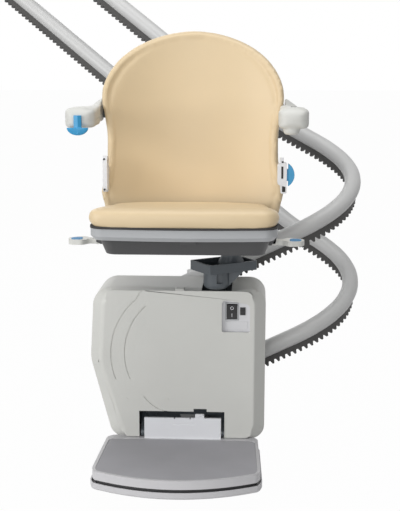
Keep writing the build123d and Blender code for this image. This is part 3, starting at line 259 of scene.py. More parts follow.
# %% Name the finishes after the pieces they belong to
FINISH_TABLE = {
    # display colour, roughness, grain and its depth in mm, blotches in mm and strength
    "rail_paint": ((202, 202, 201), 0.4, 4.0, 0.004, 80, 0.02),
    "rack_black": ((66, 65, 64), 0.62, 0.8, 0.03, 60, 0.12),
    "bare_steel": ((180, 180, 182), 0.3, 0.6, 0.01, 60, 0.05),
    "dark_metal": ((74, 80, 85), 0.42, 2.0, 0.03, 60, 0.06),
    "cover_plastic": ((209, 209, 204), 0.46, 0.9, 0.015, 120, 0.015),
    "dark_plastic": ((68, 68, 69), 0.5, 0.9, 0.02, 60, 0.06),
    "grey_plastic": ((214, 214, 216), 0.42, 0.9, 0.015, 80, 0.02),
    "tray_plastic": ((175, 177, 179), 0.46, 0.9, 0.015, 80, 0.02),
    "cast_aluminium": ((170, 170, 170), 0.5, 1.5, 0.06, 60, 0.05),
    "roller_nylon": ((222, 219, 208), 0.45, 0.9, 0.02, 60, 0.05),
    "gear_steel": ((130, 130, 132), 0.35, 0.5, 0.02, 60, 0.05),
    "sand_vinyl": ((219, 197, 160), 0.44, 1.1, 0.05, 140, 0.02),
    "white_plastic": ((232, 233, 236), 0.34, 0.9, 0.01, 80, 0.015),
    "blue_plastic": ((50, 150, 200), 0.36, 0.9, 0.01, 80, 0.03),
    # the toggle's blue plastic, darkened to paint shade on the finger pads
    "pad_blue_painted_shade": ((26, 116, 166), 0.5, 0.9, 0.01, 80, 0.03),
    "foot_mat": ((170, 169, 173), 0.75, 1.6, 0.15, 60, 0.03),
    # the footrest's white, drawn greyer to paint the shade on the plate's front band; the pan
    # shares it
    "foot_rim_painted_shade": ((202, 201, 203), 0.42, 0.9, 0.015, 80, 0.02),
    "switch_black": ((24, 24, 26), 0.4, 0.8, 0.01, 30, 0.05),
    # a near-black: painted shade in deep slots and in the groove under the seat cushion, and the
    # real dark of the clip's lining, the guide's screws and the seat's board
    "black_and_slot_shade": ((40, 38, 37), 0.7, 0.8, 0.02, 30, 0.05),
}
METALLIC = {"bare_steel": 1.0, "cast_aluminium": 0.9, "gear_steel": 1.0}
PEBBLED = ("sand_vinyl", "foot_mat")
FINISHES = {
    name: finish(name, shade(*colour), *sizes, METALLIC.get(name, 0.0), name in PEBBLED)
    for name, (colour, *sizes) in FINISH_TABLE.items()
}
SLOT_OF = {row["node"]: row["material_slot"] for row in frame["record"]["subparts"]}
BODY_OF = {
    node: body
    for body, members in frame["record"]["behaviour"]["bodies"].items()
    for node in members
}
for node, thing in nodes.items():
    for place in thing.material_slots:
        place.material = FINISHES[SLOT_OF[node]]
print(len(nodes), "CAD nodes have one of", len(FINISHES), "finishes")

# %% [markdown]
# ## Moulded and pressed pieces with soft edges
# No real edge is a knife edge: a moulding has a radius so that it leaves its tool and
# does not cut a hand. A bevel shader would only paint that radius, and the outline
# would stay hard. So we copy a CAD node's mesh, merge its loose triangles, dissolve
# the flat ones into whole faces and bevel every edge sharper than an angle. The copy
# then stands for the node.


# %% Helpers for new pieces
MERGE_REACH = 0.00002
FLAT_ANGLE = math.radians(0.6)
SMOOTH_ANGLE = math.radians(38)


def deselect():
    """Nothing selected, nothing active."""
    bpy.ops.object.select_all(action="DESELECT")
    bpy.context.view_layer.objects.active = None


def activate(piece):
    """Only this piece selected and active."""
    deselect()
    piece.select_set(True)
    bpy.context.view_layer.objects.active = piece


def apply_modifier(piece, kind, **settings):
    """Adds one modifier, sets it up and applies it at once."""
    activate(piece)
    modifier = piece.modifiers.new(kind.lower(), kind)
    for name, value in settings.items():
        setattr(modifier, name, value)
    bpy.ops.object.modifier_apply(modifier=modifier.name)


def merged_copy(node, name):
    """A copy of a CAD node's mesh with its triangles joined up."""
    mesh = nodes[node].data.copy()
    piece = bpy.data.objects.new(name, mesh)
    scene.collection.objects.link(piece)
    activate(piece)
    bpy.ops.object.mode_set(mode="EDIT")
    bpy.ops.mesh.select_all(action="SELECT")
    bpy.ops.mesh.remove_doubles(threshold=MERGE_REACH)
    bpy.ops.mesh.dissolve_limited(angle_limit=FLAT_ANGLE)
    bpy.ops.object.mode_set(mode="OBJECT")
    if mesh.has_custom_normals:
        bpy.ops.mesh.customdata_custom_splitnormals_clear()
    return piece


def hand_over(piece, *replaced, slot=None, body=None, look=None):
    """Gives a finished piece its finish, its body and the nodes it stands for."""
    slot = slot or SLOT_OF[replaced[0]]
    piece.data.materials.clear()
    piece.data.materials.append(FINISHES[look or slot])
    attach(piece, body or BODY_OF[replaced[0]])
    if replaced:
        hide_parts(*replaced)


def shade_by_angle(piece, angle=SMOOTH_ANGLE):
    """Smooth to the light, but for edges sharper than the angle."""
    activate(piece)
    bpy.ops.object.shade_smooth_by_angle(angle=angle)


def flatten_flats(piece):
    """Turns the shading on a bevel towards the large face beside it."""
    apply_modifier(piece, "WEIGHTED_NORMAL", mode="FACE_AREA", weight=80, keep_sharp=True)


def round_edges(piece, radius_mm, segments=3, angle=32.0):
    """Bevels the sharp edges and keeps the flats flat to the light."""
    apply_modifier(
        piece,
        "BEVEL",
        width=radius_mm / 1000,
        segments=segments,
        limit_method="ANGLE",
        angle_limit=math.radians(angle),
        use_clamp_overlap=True,
        harden_normals=False,
    )
    shade_by_angle(piece)
    flatten_flats(piece)


def soften(node, name, radius_mm, slot=None, look=None):
    """Stands in for a node with every sharp edge rounded."""
    piece = merged_copy(node, name)
    round_edges(piece, radius_mm)
    hand_over(piece, node, slot=slot, look=look)
    print(name, len(piece.data.polygons), "faces")


# %% Soften the rigid pieces that show
SOFT_EDGES = {
    "seat_tray": ("seat_tray_moulding", 3.0),
    "seat_base_cover": ("seat_base_moulding", 3.0),
    "column_bracket": ("column_casting", 1.2),
    "belt_guide": ("belt_guide_moulding", 2.5),
    "belt_buckle": ("belt_buckle_moulding", 1.6),
    "belt_clip": ("belt_clip_moulding", 0.8),
    "belt_release_button": ("belt_release_moulding", 2.0),
    "backrest_shell": ("backrest_shell_moulding", 3.0),
    "chassis_plate": ("chassis_pressing", 1.0),
    "back_frame": ("back_frame_weldment", 1.5),
    "seat_base_plate": ("seat_base_weldment", 1.0),
    "footrest_bracket": ("footrest_bracket_pressing", 0.8),
    "swivel_post": ("swivel_post_turning", 0.8),
}
for node, (name, radius_mm) in SOFT_EDGES.items():
    soften(node, name, radius_mm)

# %% [markdown]
# ## Selecting by place
# An edit-mode operator acts on whatever is selected. By hand one would box-select. In
# a script, a simple test on a point's place or a face's normal does the same each
# time, so each later step can say in one line which part of the shape it changes.


# %% Helpers that select by place, move, cut and groove
def pick(piece, test, kind="VERT"):
    """Leaves edit mode on with only the points, edges or faces that pass the test."""
    activate(piece)
    bpy.ops.object.mode_set(mode="EDIT")
    bpy.ops.mesh.select_mode(type=kind)
    bpy.ops.mesh.select_all(action="DESELECT")
    bpy.ops.object.mode_set(mode="OBJECT")
    mesh = piece.data
    if kind == "VERT":
        tested = [(vertex, test(vertex.co)) for vertex in mesh.vertices]
    elif kind == "EDGE":
        tested = [
            (edge, test(*(mesh.vertices[index].co for index in edge.vertices)))
            for edge in mesh.edges
        ]
    else:
        tested = [(face, test(face.center, face.normal)) for face in mesh.polygons]
    for element, passed in tested:
        element.select = passed
    bpy.ops.object.mode_set(mode="EDIT")
    return sum(passed for _, passed in tested)


def pick_all(piece):
    """Leaves edit mode on with the whole piece selected."""
    pick(piece, lambda place: True)


def leave_edit():
    """Back to object mode, where the mesh data is up to date."""
    bpy.ops.object.mode_set(mode="OBJECT")


def shift(piece, test, move):
    """Moves the points that pass the test."""
    count = pick(piece, test)
    bpy.ops.transform.translate(value=move)
    leave_edit()
    return count


def cut_away(piece, point, normal, keep_above=True):
    """Cuts with a plane and closes the cut."""
    pick_all(piece)
    bpy.ops.mesh.bisect(
        plane_co=point,
        plane_no=normal,
        use_fill=True,
        clear_inner=keep_above,
        clear_outer=not keep_above,
    )
    leave_edit()


def groove_round(piece, height, width_mm, depth_mm, test):
    """A parting line: a level band of the surface pressed in where the test passes."""
    low, high = height - width_mm / 2000, height + width_mm / 2000
    for level in (low, high):
        pick_all(piece)
        bpy.ops.mesh.bisect(plane_co=(0, 0, level), plane_no=(0, 0, 1))
        leave_edit()
    found = pick(
        piece,
        lambda centre, normal: low < centre.z < high and abs(normal.z) < 0.8 and test(centre),
        "FACE",
    )
    bpy.ops.mesh.extrude_region_shrink_fatten(
        MESH_OT_extrude_region={}, TRANSFORM_OT_shrink_fatten={"value": -depth_mm / 1000}
    )
    leave_edit()
    return found


def apply_place(piece):
    """Puts the place, turn and size of an object into its mesh."""
    activate(piece)
    bpy.ops.object.transform_apply(location=True, rotation=True, scale=True)


def block(name, low, high):
    """A primitive cube brought to two corners, in metres, ready to be shaped."""
    deselect()
    middle = [(a + b) / 2 for a, b in zip(low, high)]
    bpy.ops.mesh.primitive_cube_add(size=1, location=middle)
    piece = bpy.context.object
    piece.name = name
    piece.scale = [b - a for a, b in zip(low, high)]
    apply_place(piece)
    return piece


def faces_front(middle, normal):
    """Whether a face looks at a person who stands before the chair."""
    return normal.y < -0.9


# %% [markdown]
# ## The long straight tubes
# A tube from the CAD program is one facet long from end to end. It could stay so, but
# needles of a metre are awkward to select and shade. So each long run is joined up
# into whole facets and cut across into short lengths. The roundness stays the CAD
# model's own.

# %% Cut the long runs across
PIECES_PER_RUN = 12
for level in ("upper", "lower"):
    run = merged_copy(level + "_tube_far_run", level + "_tube_far_run_drawn")
    points = run.data.vertices
    edge_ends = ([points[index].co.copy() for index in edge.vertices] for edge in run.data.edges)
    start, end = max(edge_ends, key=lambda pair: (pair[1] - pair[0]).length)
    along = end - start
    pick_all(run)
    for step in range(1, PIECES_PER_RUN):
        bpy.ops.mesh.select_all(action="SELECT")
        bpy.ops.mesh.bisect(
            plane_co=start + along * (step / PIECES_PER_RUN), plane_no=along.normalized()
        )
    leave_edit()
    shade_by_angle(run)
    hand_over(run, level + "_tube_far_run")
    print(run.name, "longest facet was", round(along.length, 3), "m")

# %% [markdown]
# ## Carriage cover
# The cover is one moulded shell. Its front edge has a generous roll into the level
# top, the roll on the left is larger still, and two shallow grooves curve down the
# front. Sculpting would lose the flat panel, so we move only the panel's upper and
# lower rows of points, press the grooves deeper, and bevel each edge by its own
# radius.

# %% Shape the cover
PANEL_Y = -0.262
PANEL_LIFT = 0.0085
PANEL_DROP = 0.014
GROOVE_DEEPER = 0.0008
KNEE_X, KNEE_Z = -0.220, 0.276
TOE_X, TOE_Z = -0.167, 0.102
SHOULDER_X, SHOULDER_Z = -0.210, 0.445
ROLLS = {
    # edge: radius in mm, segments
    "left": (9.0, 6),
    "top": (2.0, 4),
    "right": (3.0, 4),
}


def left_edge_x(height):
    """Where the left edge of the front panel stands at a height."""
    if height < KNEE_Z:
        return TOE_X + (height - TOE_Z) * (KNEE_X - TOE_X) / (KNEE_Z - TOE_Z)
    return KNEE_X + (height - KNEE_Z) * (SHOULDER_X - KNEE_X) / (SHOULDER_Z - KNEE_Z)


def on_panel(place):
    """Whether a point lies on the front panel's own face."""
    return place.y < PANEL_Y + 0.0004


def near_panel(place):
    """Whether a point lies on the panel or in a groove of it."""
    return place.y < PANEL_Y + 0.006


def in_groove(centre, normal):
    """Whether a face is the floor of a groove."""
    return normal.y < -0.9 and 0.0006 < centre.y - PANEL_Y < 0.0018


def bevel_where(piece, test, radius_mm, segments):
    """Rounds only the edges whose two ends pass the test."""
    found = pick(piece, lambda start, end: test(start) and test(end), "EDGE")
    bpy.ops.mesh.bevel(
        offset=radius_mm / 1000, segments=segments, affect="EDGES", clamp_overlap=False
    )
    leave_edit()
    return found


EDGE_TESTS = {
    "left": lambda place: on_panel(place) and place.x < left_edge_x(place.z) + 0.006,
    "top": lambda place: on_panel(place) and place.z > 0.4525,
    "right": lambda place: on_panel(place) and place.x > 0.1495,
}
cover = merged_copy("carriage_cover", "carriage_cover_moulding")
lifted = shift(cover, lambda place: near_panel(place) and place.z > 0.436, (0, 0, PANEL_LIFT))
shift(cover, lambda place: near_panel(place) and place.z < 0.108, (0, 0, -PANEL_DROP))
deeper = pick(cover, in_groove, "FACE")
bpy.ops.transform.translate(value=(0, GROOVE_DEEPER, 0))
leave_edit()
rolled = {
    edge: bevel_where(cover, EDGE_TESTS[edge], radius_mm, segments)
    for edge, (radius_mm, segments) in ROLLS.items()
}
shade_by_angle(cover, math.radians(28))
flatten_flats(cover)
hand_over(cover, "carriage_cover")
print("grooves deepened on", deeper, "faces, edges rolled", rolled)
print("cover panel lifted at", lifted, "points,", len(cover.data.polygons), "faces")

# %% [markdown]
# ## The switch recess
# A shallow recess in the cover holds a black rocker in a grey bezel, a sound grille
# and a bare plate. The two marks on the rocker could be a texture. They are moulded
# here, as a ring and a bar, so that they stay sharp from close by. The grille is one
# block whose front face is subdivided, and each cell is inset and pressed in.

# %% Bezel, rocker, sound grille and a bare plate
soften("switch_panel", "switch_panel_moulding", 0.8)
soften("switch_housing", "switch_bezel", 0.8, slot="tray_plastic")
soften("power_rocker", "power_rocker_moulding", 1.0, look="switch_black")
RECESS_Y = PANEL_Y + 0.010
ROCKER_BODY = BODY_OF["power_rocker"]

deselect()
bpy.ops.mesh.primitive_torus_add(
    major_radius=0.0036,
    minor_radius=0.0006,
    major_segments=32,
    minor_segments=8,
    location=(0.100, RECESS_Y - 0.0016, 0.4105),
    rotation=(math.radians(97), 0, 0),
)
off_mark = bpy.context.object
off_mark.name = "rocker_off_ring"
apply_place(off_mark)
hand_over(off_mark, slot="white_plastic", body=ROCKER_BODY)
on_mark = block(
    "rocker_on_bar", (0.0994, RECESS_Y - 0.0006, 0.389), (0.1006, RECESS_Y + 0.0008, 0.397)
)
round_edges(on_mark, 0.2, segments=2)
hand_over(on_mark, slot="white_plastic", body=ROCKER_BODY)

bare_plate = block("bare_plate", (0.081, RECESS_Y - 0.0012, 0.3575), (0.1375, RECESS_Y, 0.3775))
round_edges(bare_plate, 0.5)
hand_over(bare_plate, slot="white_plastic", body="carriage", look="grey_plastic")

grille = block("sound_grille", (0.1195, RECESS_Y - 0.0016, 0.3935), (0.1325, RECESS_Y, 0.4125))
pick(grille, faces_front, "FACE")
bpy.ops.mesh.subdivide(number_cuts=4)
leave_edit()
cells = pick(grille, faces_front, "FACE")
bpy.ops.mesh.inset(thickness=0.0005, use_individual=True)
bpy.ops.transform.translate(value=(0, 0.0011, 0))
leave_edit()
hand_over(grille, slot="dark_plastic", body="carriage")
print("sound grille with", cells, "cells")

# %% [markdown]
# ## Plugs and a release tab
# Two blanking plugs close the cover's fixing holes, and a tab on its top edge lets it
# go. A plug could be cut from a sphere, but a short cylinder with its face inset and
# pressed in is the same low dish for far fewer faces. The second plug is a copy.


# %% Small moulded marks on the cover
def disc(name, centre, radius, thickness):
    """A short cylinder that looks forwards, ready to be shaped."""
    deselect()
    bpy.ops.mesh.primitive_cylinder_add(
        vertices=24,
        radius=radius,
        depth=thickness,
        location=centre,
        rotation=(math.radians(90), 0, 0),
    )
    piece = bpy.context.object
    piece.name = name
    apply_place(piece)
    return piece


def copy_of(piece, name, move):
    """Another piece of the same shape with its own mesh."""
    twin = bpy.data.objects.new(name, piece.data.copy())
    scene.collection.objects.link(twin)
    shift(twin, lambda place: True, move)
    return twin


def plug(name, centre, radius):
    """A blanking plug with a dished middle."""
    piece = disc(name, centre, radius, 0.0012)
    pick(piece, faces_front, "FACE")
    bpy.ops.mesh.inset(thickness=radius * 0.35)
    bpy.ops.transform.translate(value=(0, 0.0005, 0))
    leave_edit()
    round_edges(piece, 0.3, segments=2)
    return piece


left_plug = plug("cover_plug_left", (-0.1562, PANEL_Y - 0.0003, 0.181), 0.0042)
right_plug = copy_of(left_plug, "cover_plug_right", (0.0991, 0, 0.0015))
for piece in (left_plug, right_plug):
    hand_over(piece, slot="cover_plastic", body="carriage")

TAB_TOP, TAB_MIDDLE = 0.455, -0.25
release_tab = block("cover_release_tab", (-0.036, -0.262, 0.4525), (-0.014, -0.244, 0.4575))
shift(release_tab, lambda place: place.z > TAB_TOP and place.y > TAB_MIDDLE, (0, 0, 0.0015))
shift(release_tab, lambda place: place.z > TAB_TOP and place.y < TAB_MIDDLE, (0, 0.004, 0))
round_edges(release_tab, 1.8)
hand_over(release_tab, slot="cover_plastic", body="carriage")
# A dark block paints the shade inside the tab's slot.
tab_slot = block("cover_release_slot", (-0.0335, -0.2435, 0.4548), (-0.0165, -0.2395, 0.4556))
round_edges(tab_slot, 0.3)
hand_over(tab_slot, slot="dark_plastic", body="carriage", look="black_and_slot_shade")
print("release tab", [round(value, 4) for value in release_tab.dimensions])

# %% [markdown]
# ## Footrest
# The step is a shallow tray with a rubber mat let into it, and below it a safety pan
# that lifts when it meets an obstacle. Plate, mat, seal and pan share one plan, a
# little larger or smaller each time. Four separate curves would drift apart, so one
# function draws the plan: a plane whose front edge is bowed and whose corners are
# rounded.

# %% The shared plan
FOOT_X, FOOT_REAR, FOOT_SIDE, FOOT_FRONT = -0.020, -0.246, -0.488, -0.543
FOOT_TOP = 0.086
REAR_HALF, SIDE_HALF = 0.184, 0.1915
FOOT_CORNER = 0.026


def foot_plan(name, height, grow, rear=FOOT_REAR, corner=FOOT_CORNER):
    """A flat face in the outline of the footrest."""
    deselect()
    bpy.ops.mesh.primitive_plane_add(size=1, location=(0, 0, height))
    piece = bpy.context.object
    piece.name = name
    apply_place(piece)
    side = FOOT_SIDE - grow * 0.4
    rear_half, side_half = REAR_HALF + grow, SIDE_HALF + grow
    for vertex in piece.data.vertices:
        sign = 1 if vertex.co.x > 0 else -1
        if vertex.co.y > 0:
            vertex.co = (FOOT_X + sign * rear_half, rear, height)
        else:
            vertex.co = (FOOT_X + sign * side_half, side, height)
    pick(piece, lambda a, b: max(a.y, b.y) < side + 0.001, "EDGE")
    bpy.ops.mesh.subdivide(number_cuts=31)
    leave_edit()
    bow = FOOT_FRONT - grow - side
    for vertex in piece.data.vertices:
        if vertex.co.y < side + 0.001:
            across = (vertex.co.x - FOOT_X) / side_half
            vertex.co.y = side + bow * (1 - across * across)
    edge_x = side_half - 0.001
    pick(piece, lambda place: place.y > rear - 0.001 or abs(place.x - FOOT_X) > edge_x)
    bpy.ops.mesh.bevel(offset=corner, segments=7, affect="VERTICES", clamp_overlap=False)
    leave_edit()
    if piece.data.polygons[0].normal.z < 0:
        pick_all(piece)
        bpy.ops.mesh.flip_normals()
        leave_edit()
    return piece


def thicken(piece, depth):
    """Pulls the flat plan down into a slab with a closed underside."""
    pick_all(piece)
    bpy.ops.mesh.extrude_region_move(TRANSFORM_OT_translate={"value": (0, 0, -depth)})
    bpy.ops.mesh.select_all(action="SELECT")
    bpy.ops.mesh.normals_make_consistent(inside=False)
    leave_edit()


def pick_level_face(piece, level, reach=0.0002):
    """Leaves edit mode on with the face that looks up from a level selected."""
    return pick(
        piece,
        lambda centre, normal: normal.z > 0.9 and abs(centre.z - level) < reach,
        "FACE",
    )


# %% [markdown]
# ## The plate
# The real plate has a raised rim, and a wider sill at the rear where the hinge
# stands. A boolean with the mat would leave thin slivers in the corners. An inset of
# the top face keeps the rim's width even, and the selected face's rear points are
# then drawn forward for the sill before it is pressed down.

# %% Plate with its rim and its rear sill
RIM = 0.007
SILL_Y = -0.275
STAY_Y = -0.40
MAT_RECESS = 0.003


def draw_back(piece, reach):
    """Squeezes the rear of a selected face forward, to leave room for the sill."""
    stretch = (SILL_Y - STAY_Y) / (reach - STAY_Y)
    for vertex in piece.data.vertices:
        if vertex.select and vertex.co.y > STAY_Y:
            vertex.co.y = STAY_Y + (vertex.co.y - STAY_Y) * stretch


plate = foot_plan("footrest_moulding", FOOT_TOP, 0.0)
thicken(plate, 0.020)
pick_level_face(plate, FOOT_TOP)
bpy.ops.mesh.inset(thickness=RIM)
leave_edit()
draw_back(plate, FOOT_REAR - RIM)
inner_faces = sum(face.select for face in plate.data.polygons)
bpy.ops.object.mode_set(mode="EDIT")
bpy.ops.mesh.extrude_region_move(TRANSFORM_OT_translate={"value": (0, 0, -MAT_RECESS)})
leave_edit()
round_edges(plate, 2.0, angle=40)
# The plate is greyer than its own white upstand: painted shade on its front band.
hand_over(plate, "footrest_plate", look="foot_rim_painted_shade")
print("inside the rim:", inner_faces, "face, pressed down", MAT_RECESS * 1000, "mm")

# %% [markdown]
# ## The hinge upstand
# The plate turns on an upstand at its rear, which is part of the same moulding. Its
# knuckles already have the right size in the CAD node, so nothing is built anew: a
# copy of the node is cut off at the plate's top and keeps only what stands above.

# %% Cut the upstand from the CAD plate
upstand = merged_copy("footrest_plate", "footrest_upstand")
cut_away(upstand, (0, 0, FOOT_TOP + 0.0003), (0, 0, 1))
shift(upstand, lambda place: place.z < FOOT_TOP + 0.0006, (0, 0, -0.002))
round_edges(upstand, 0.9, segments=2, angle=40)
hand_over(upstand, "footrest_plate", look="white_plastic")
print("upstand", [round(value, 4) for value in upstand.dimensions])

# %% [markdown]
# ## Mat, seal and safety pan
# The mat is a thin rubber sheet in the plate's recess. The seal is a soft black band
# that closes the gap to the pan and leaves it room to lift. The pan is a thin tray
# with a rolled lower edge. All three come from the shared plan, grown or shrunk, and
# the pan is hollowed by an inset and an extrusion, as a mould's core would do it.

# %% Draw the three from the shared plan
MAT_GAP = 0.0004
mat = foot_plan("footrest_tread", FOOT_TOP - MAT_GAP, -RIM - MAT_GAP, FOOT_REAR - RIM, 0.020)
pick_all(mat)
leave_edit()
draw_back(mat, FOOT_REAR - RIM)
thicken(mat, 0.0024)
round_edges(mat, 0.5, segments=2, angle=40)
hand_over(mat, "footrest_mat")

seal = foot_plan("footrest_gaiter", 0.0665, -0.008, FOOT_REAR - 0.008, 0.020)
thicken(seal, 0.0135)
round_edges(seal, 1.0, segments=2, angle=40)
hand_over(seal, "footrest_seal")

PAN_TOP, PAN_BOTTOM = 0.0595, 0.0435
pan = foot_plan("footrest_pan_moulding", PAN_TOP, 0.0045, FOOT_REAR + 0.005, 0.028)
thicken(pan, PAN_TOP - PAN_BOTTOM)
pick_level_face(pan, PAN_TOP)
bpy.ops.mesh.inset(thickness=0.003)
bpy.ops.mesh.extrude_region_move(TRANSFORM_OT_translate={"value": (0, 0, -0.013)})
leave_edit()
pick(
    pan,
    lambda a, b: max(a.z, b.z) < PAN_BOTTOM + 0.0005 and abs(a.z - b.z) < 0.0001,
    "EDGE",
)
bpy.ops.mesh.bevel(offset=0.005, segments=4, affect="EDGES")
leave_edit()
round_edges(pan, 0.8, segments=2, angle=50)
# The pan shares the plate's finish, a grey darker than the upstand's white.
hand_over(pan, "footrest_safety_pan", look="foot_rim_painted_shade")
for piece in (mat, seal, pan):
    print(piece.name, [round(value, 4) for value in piece.dimensions])

# %% [markdown]
# ## Armrests
# The arms are soft rounded mouldings in two halves. A subdivision surface would need
# a clean cage of quads. Instead we melt the CAD solid into small even quads, swell
# the blunt front end, relax the surface until no edge is left, and press a thin
# parting line round the middle.


# %% Helpers for melted shapes
def ramp(value, start, length):
    """0 up to the start, 1 past the length, and a straight line between them."""
    return min(1.0, max(0.0, (value - start) / length))


def relax(piece, rounds):
    """Evens out the surface, and so rounds every edge."""
    apply_modifier(piece, "SMOOTH", iterations=rounds, factor=0.5)


def remesh(piece, voxel_mm):
    """Turns a hard solid into small even quads."""
    apply_modifier(piece, "REMESH", mode="VOXEL", voxel_size=voxel_mm / 1000)


def shade_smooth(piece):
    """Smooth to the light all over."""
    activate(piece)
    bpy.ops.object.shade_smooth()


def grow_all(piece, distance_mm):
    """Moves the whole surface outwards along its normals."""
    pick_all(piece)
    bpy.ops.transform.shrink_fatten(value=distance_mm / 1000)
    leave_edit()


def swell(piece, test, centre, scale, reach):
    """Scales the points that pass the test, and draws their neighbours along."""
    pick(piece, test)
    bpy.ops.transform.resize(
        value=scale,
        center_override=centre,
        use_proportional_edit=True,
        proportional_edit_falloff="SMOOTH",
        proportional_size=reach,
    )
    leave_edit()


# %% Both armrests
ARM_FRONT = -0.402
ARM_PART = 0.8655
NOSE_X, NOSE_Z = 0.2385, 0.871
NOSE_Y = ARM_FRONT + 0.03
NOSE_RADIUS = 0.034
NOSE_SWELL = (1.16, 1.0, 1.02)


def slope_rear(arm):
    """Raises the rear of the arm's upper half and slopes it down to the outside."""
    for vertex in arm.data.vertices:
        place = vertex.co
        back = ramp(place.y, -0.30, 0.09)
        out = ramp(abs(place.x), 0.222, 0.040)
        if place.z > ARM_PART:
            place.z = ARM_PART + (place.z - ARM_PART) * (1 + back * (0.28 - 0.95 * out))


def round_nose(arm, nose):
    """Lets the upper half fall off round the nose like the lid of a drum."""
    for vertex in arm.data.vertices:
        place = vertex.co
        if place.z > ARM_PART:
            away = math.hypot(place.x - nose[0], min(0.0, place.y - nose[1])) / NOSE_RADIUS
            fade = ramp(-place.y, -(ARM_FRONT + 0.14), 0.08)
            place.z -= (place.z - ARM_PART) * 0.26 * fade * min(1.0, away * away)


def make_arm(node, name, side):
    """One armrest; the side is 1 for the sitter's left and -1 for the right."""
    arm = merged_copy(node, name)
    remesh(arm, 2.2)
    slope_rear(arm)
    nose = (side * NOSE_X, NOSE_Y, NOSE_Z)
    swell(arm, lambda place: place.y < NOSE_Y, nose, NOSE_SWELL, 0.07)
    round_nose(arm, nose)
    relax(arm, 22)
    grow_all(arm, 1.2)
    faces = groove_round(arm, ARM_PART, 1.3, 0.6, lambda centre: centre.y < -0.13)
    hand_over(arm, node)
    print(name, faces, "faces in its parting line,", len(arm.data.polygons), "in all")


make_arm("armrest_plus_x", "armrest_plus_x_moulding", 1)
make_arm("armrest_minus_x", "armrest_minus_x_moulding", -1)

# %% [markdown]
# ## Direction toggle
# The toggle at the end of the arm is a ridged blade that ends in a half bowl, made in
# one shot of blue plastic. A boolean union would keep a hard crease where they meet.
# The blade and the cut sphere are joined and melted together instead, which leaves
# the small fillet that a mould gives.

# %% A ridged blade on a bowl
TOGGLE_X = -0.239
TOGGLE_Y = ARM_FRONT - 0.0006
BOWL_Z = 0.8505
blade = block(
    "direction_toggle_moulding",
    (TOGGLE_X - 0.0085, TOGGLE_Y - 0.0065, 0.836),
    (TOGGLE_X + 0.0085, TOGGLE_Y, 0.8765),
)
pick(blade, faces_front, "FACE")
bpy.ops.mesh.inset(thickness=0.0001)
bpy.ops.mesh.subdivide(number_cuts=1)
leave_edit()
shift(
    blade,
    lambda place: place.y < TOGGLE_Y - 0.004 and abs(place.x - TOGGLE_X) < 0.001,
    (0.0012, -0.0036, 0),
)
deselect()
bpy.ops.mesh.primitive_uv_sphere_add(
    segments=40, ring_count=24, radius=1, location=(TOGGLE_X, TOGGLE_Y - 0.0052, BOWL_Z)
)
bowl = bpy.context.object
bowl.name = "toggle_bowl"
bowl.scale = (0.0245, 0.0052, 0.018)
apply_place(bowl)
cut_away(bowl, (0, 0, BOWL_Z - 0.001), (0, 0, -1))
activate(blade)
bowl.select_set(True)
bpy.ops.object.join()
remesh(blade, 0.7)
relax(blade, 4)
shade_smooth(blade)
hand_over(blade, "direction_toggle")
print("toggle", [round(value, 4) for value in blade.dimensions])

# %% [markdown]
# ## Swivel levers and their brackets
# A lever under each side of the seat unlocks its swivel. The levers are white
# mouldings with a blue finger pad in a shallow well, and the dark brackets that hold
# them are drawn in below. The pad could be drawn by hand, but the well's floor in the
# CAD node already has its outline, so that one face is kept and thickened.

# %% Lever brackets, drawn in below
BRACKET_LOW = 0.5915
brackets = merged_copy("lever_brackets", "lever_bracket_mouldings")
for side in (1, -1):
    drawn_in = shift(
        brackets,
        lambda place: place.x * side > 0 and place.z < BRACKET_LOW,
        (-0.012 * side, 0, 0.005),
    )
    print("bracket drawn in at", drawn_in, "points")
round_edges(brackets, 1.2)
hand_over(brackets, "lever_brackets", look="dark_plastic")

# %% Levers with their finger pads
WELL_FLOOR = 0.6025


def outside_well(centre, normal):
    """Whether a face of the lever is anything but the floor of its well."""
    return not (normal.z > 0.9 and abs(centre.z - WELL_FLOOR) < 0.0003)


for node in ("swivel_lever_plus_x", "swivel_lever_minus_x"):
    pad = merged_copy(node, node + "_finger_pad")
    pick(pad, outside_well, "FACE")
    bpy.ops.mesh.delete(type="FACE")
    leave_edit()
    apply_modifier(pad, "SOLIDIFY", thickness=0.0024, offset=1.0)
    round_edges(pad, 0.6, segments=2)
    # The pad is the same blue plastic, drawn darker: painted shade.
    hand_over(pad, slot="blue_plastic", body=BODY_OF[node], look="pad_blue_painted_shade")
    soften(node, node + "_moulding", 1.6)
    print(node, "finger pad", [round(value, 4) for value in pad.dimensions])

# %% [markdown]
# ## Dark inserts and painted slot shade
# The clip among the white belt parts has a black nylon lining. The buckle's slot and eye,
# and the slot in the arm's cap, look dark only because they are deep. Cutting them out
# would mean a boolean for each. A small rounded dark block that stands a hair proud of
# the surface stands in for the lining, and it paints the shade of the deep slots. A ray
# cast down onto the cap finds the height at which that block has to lie.

# %% Painted slot shade for the buckle and the arm's cap, and the clip's dark lining
DARK_BLOCKS = {
    # name: node it rides with, low corner, high corner, edge radius in mm
    # painted shade in the buckle's deep slot
    "belt_buckle_slot_shade": (
        "belt_buckle", (0.2143, -0.2325, 0.7203), (0.2187, -0.2205, 0.7487), 0.4
    ),
    "belt_clip_insert": (
        "belt_clip", (0.2163, -0.2285, 0.6880), (0.2240, -0.2135, 0.7015), 0.4
    ),
    # painted shade in the buckle's eye
    "belt_buckle_eye": (
        "belt_buckle", (0.2148, -0.2325, 0.7560), (0.2192, -0.2265, 0.7610), 0.8
    ),
}


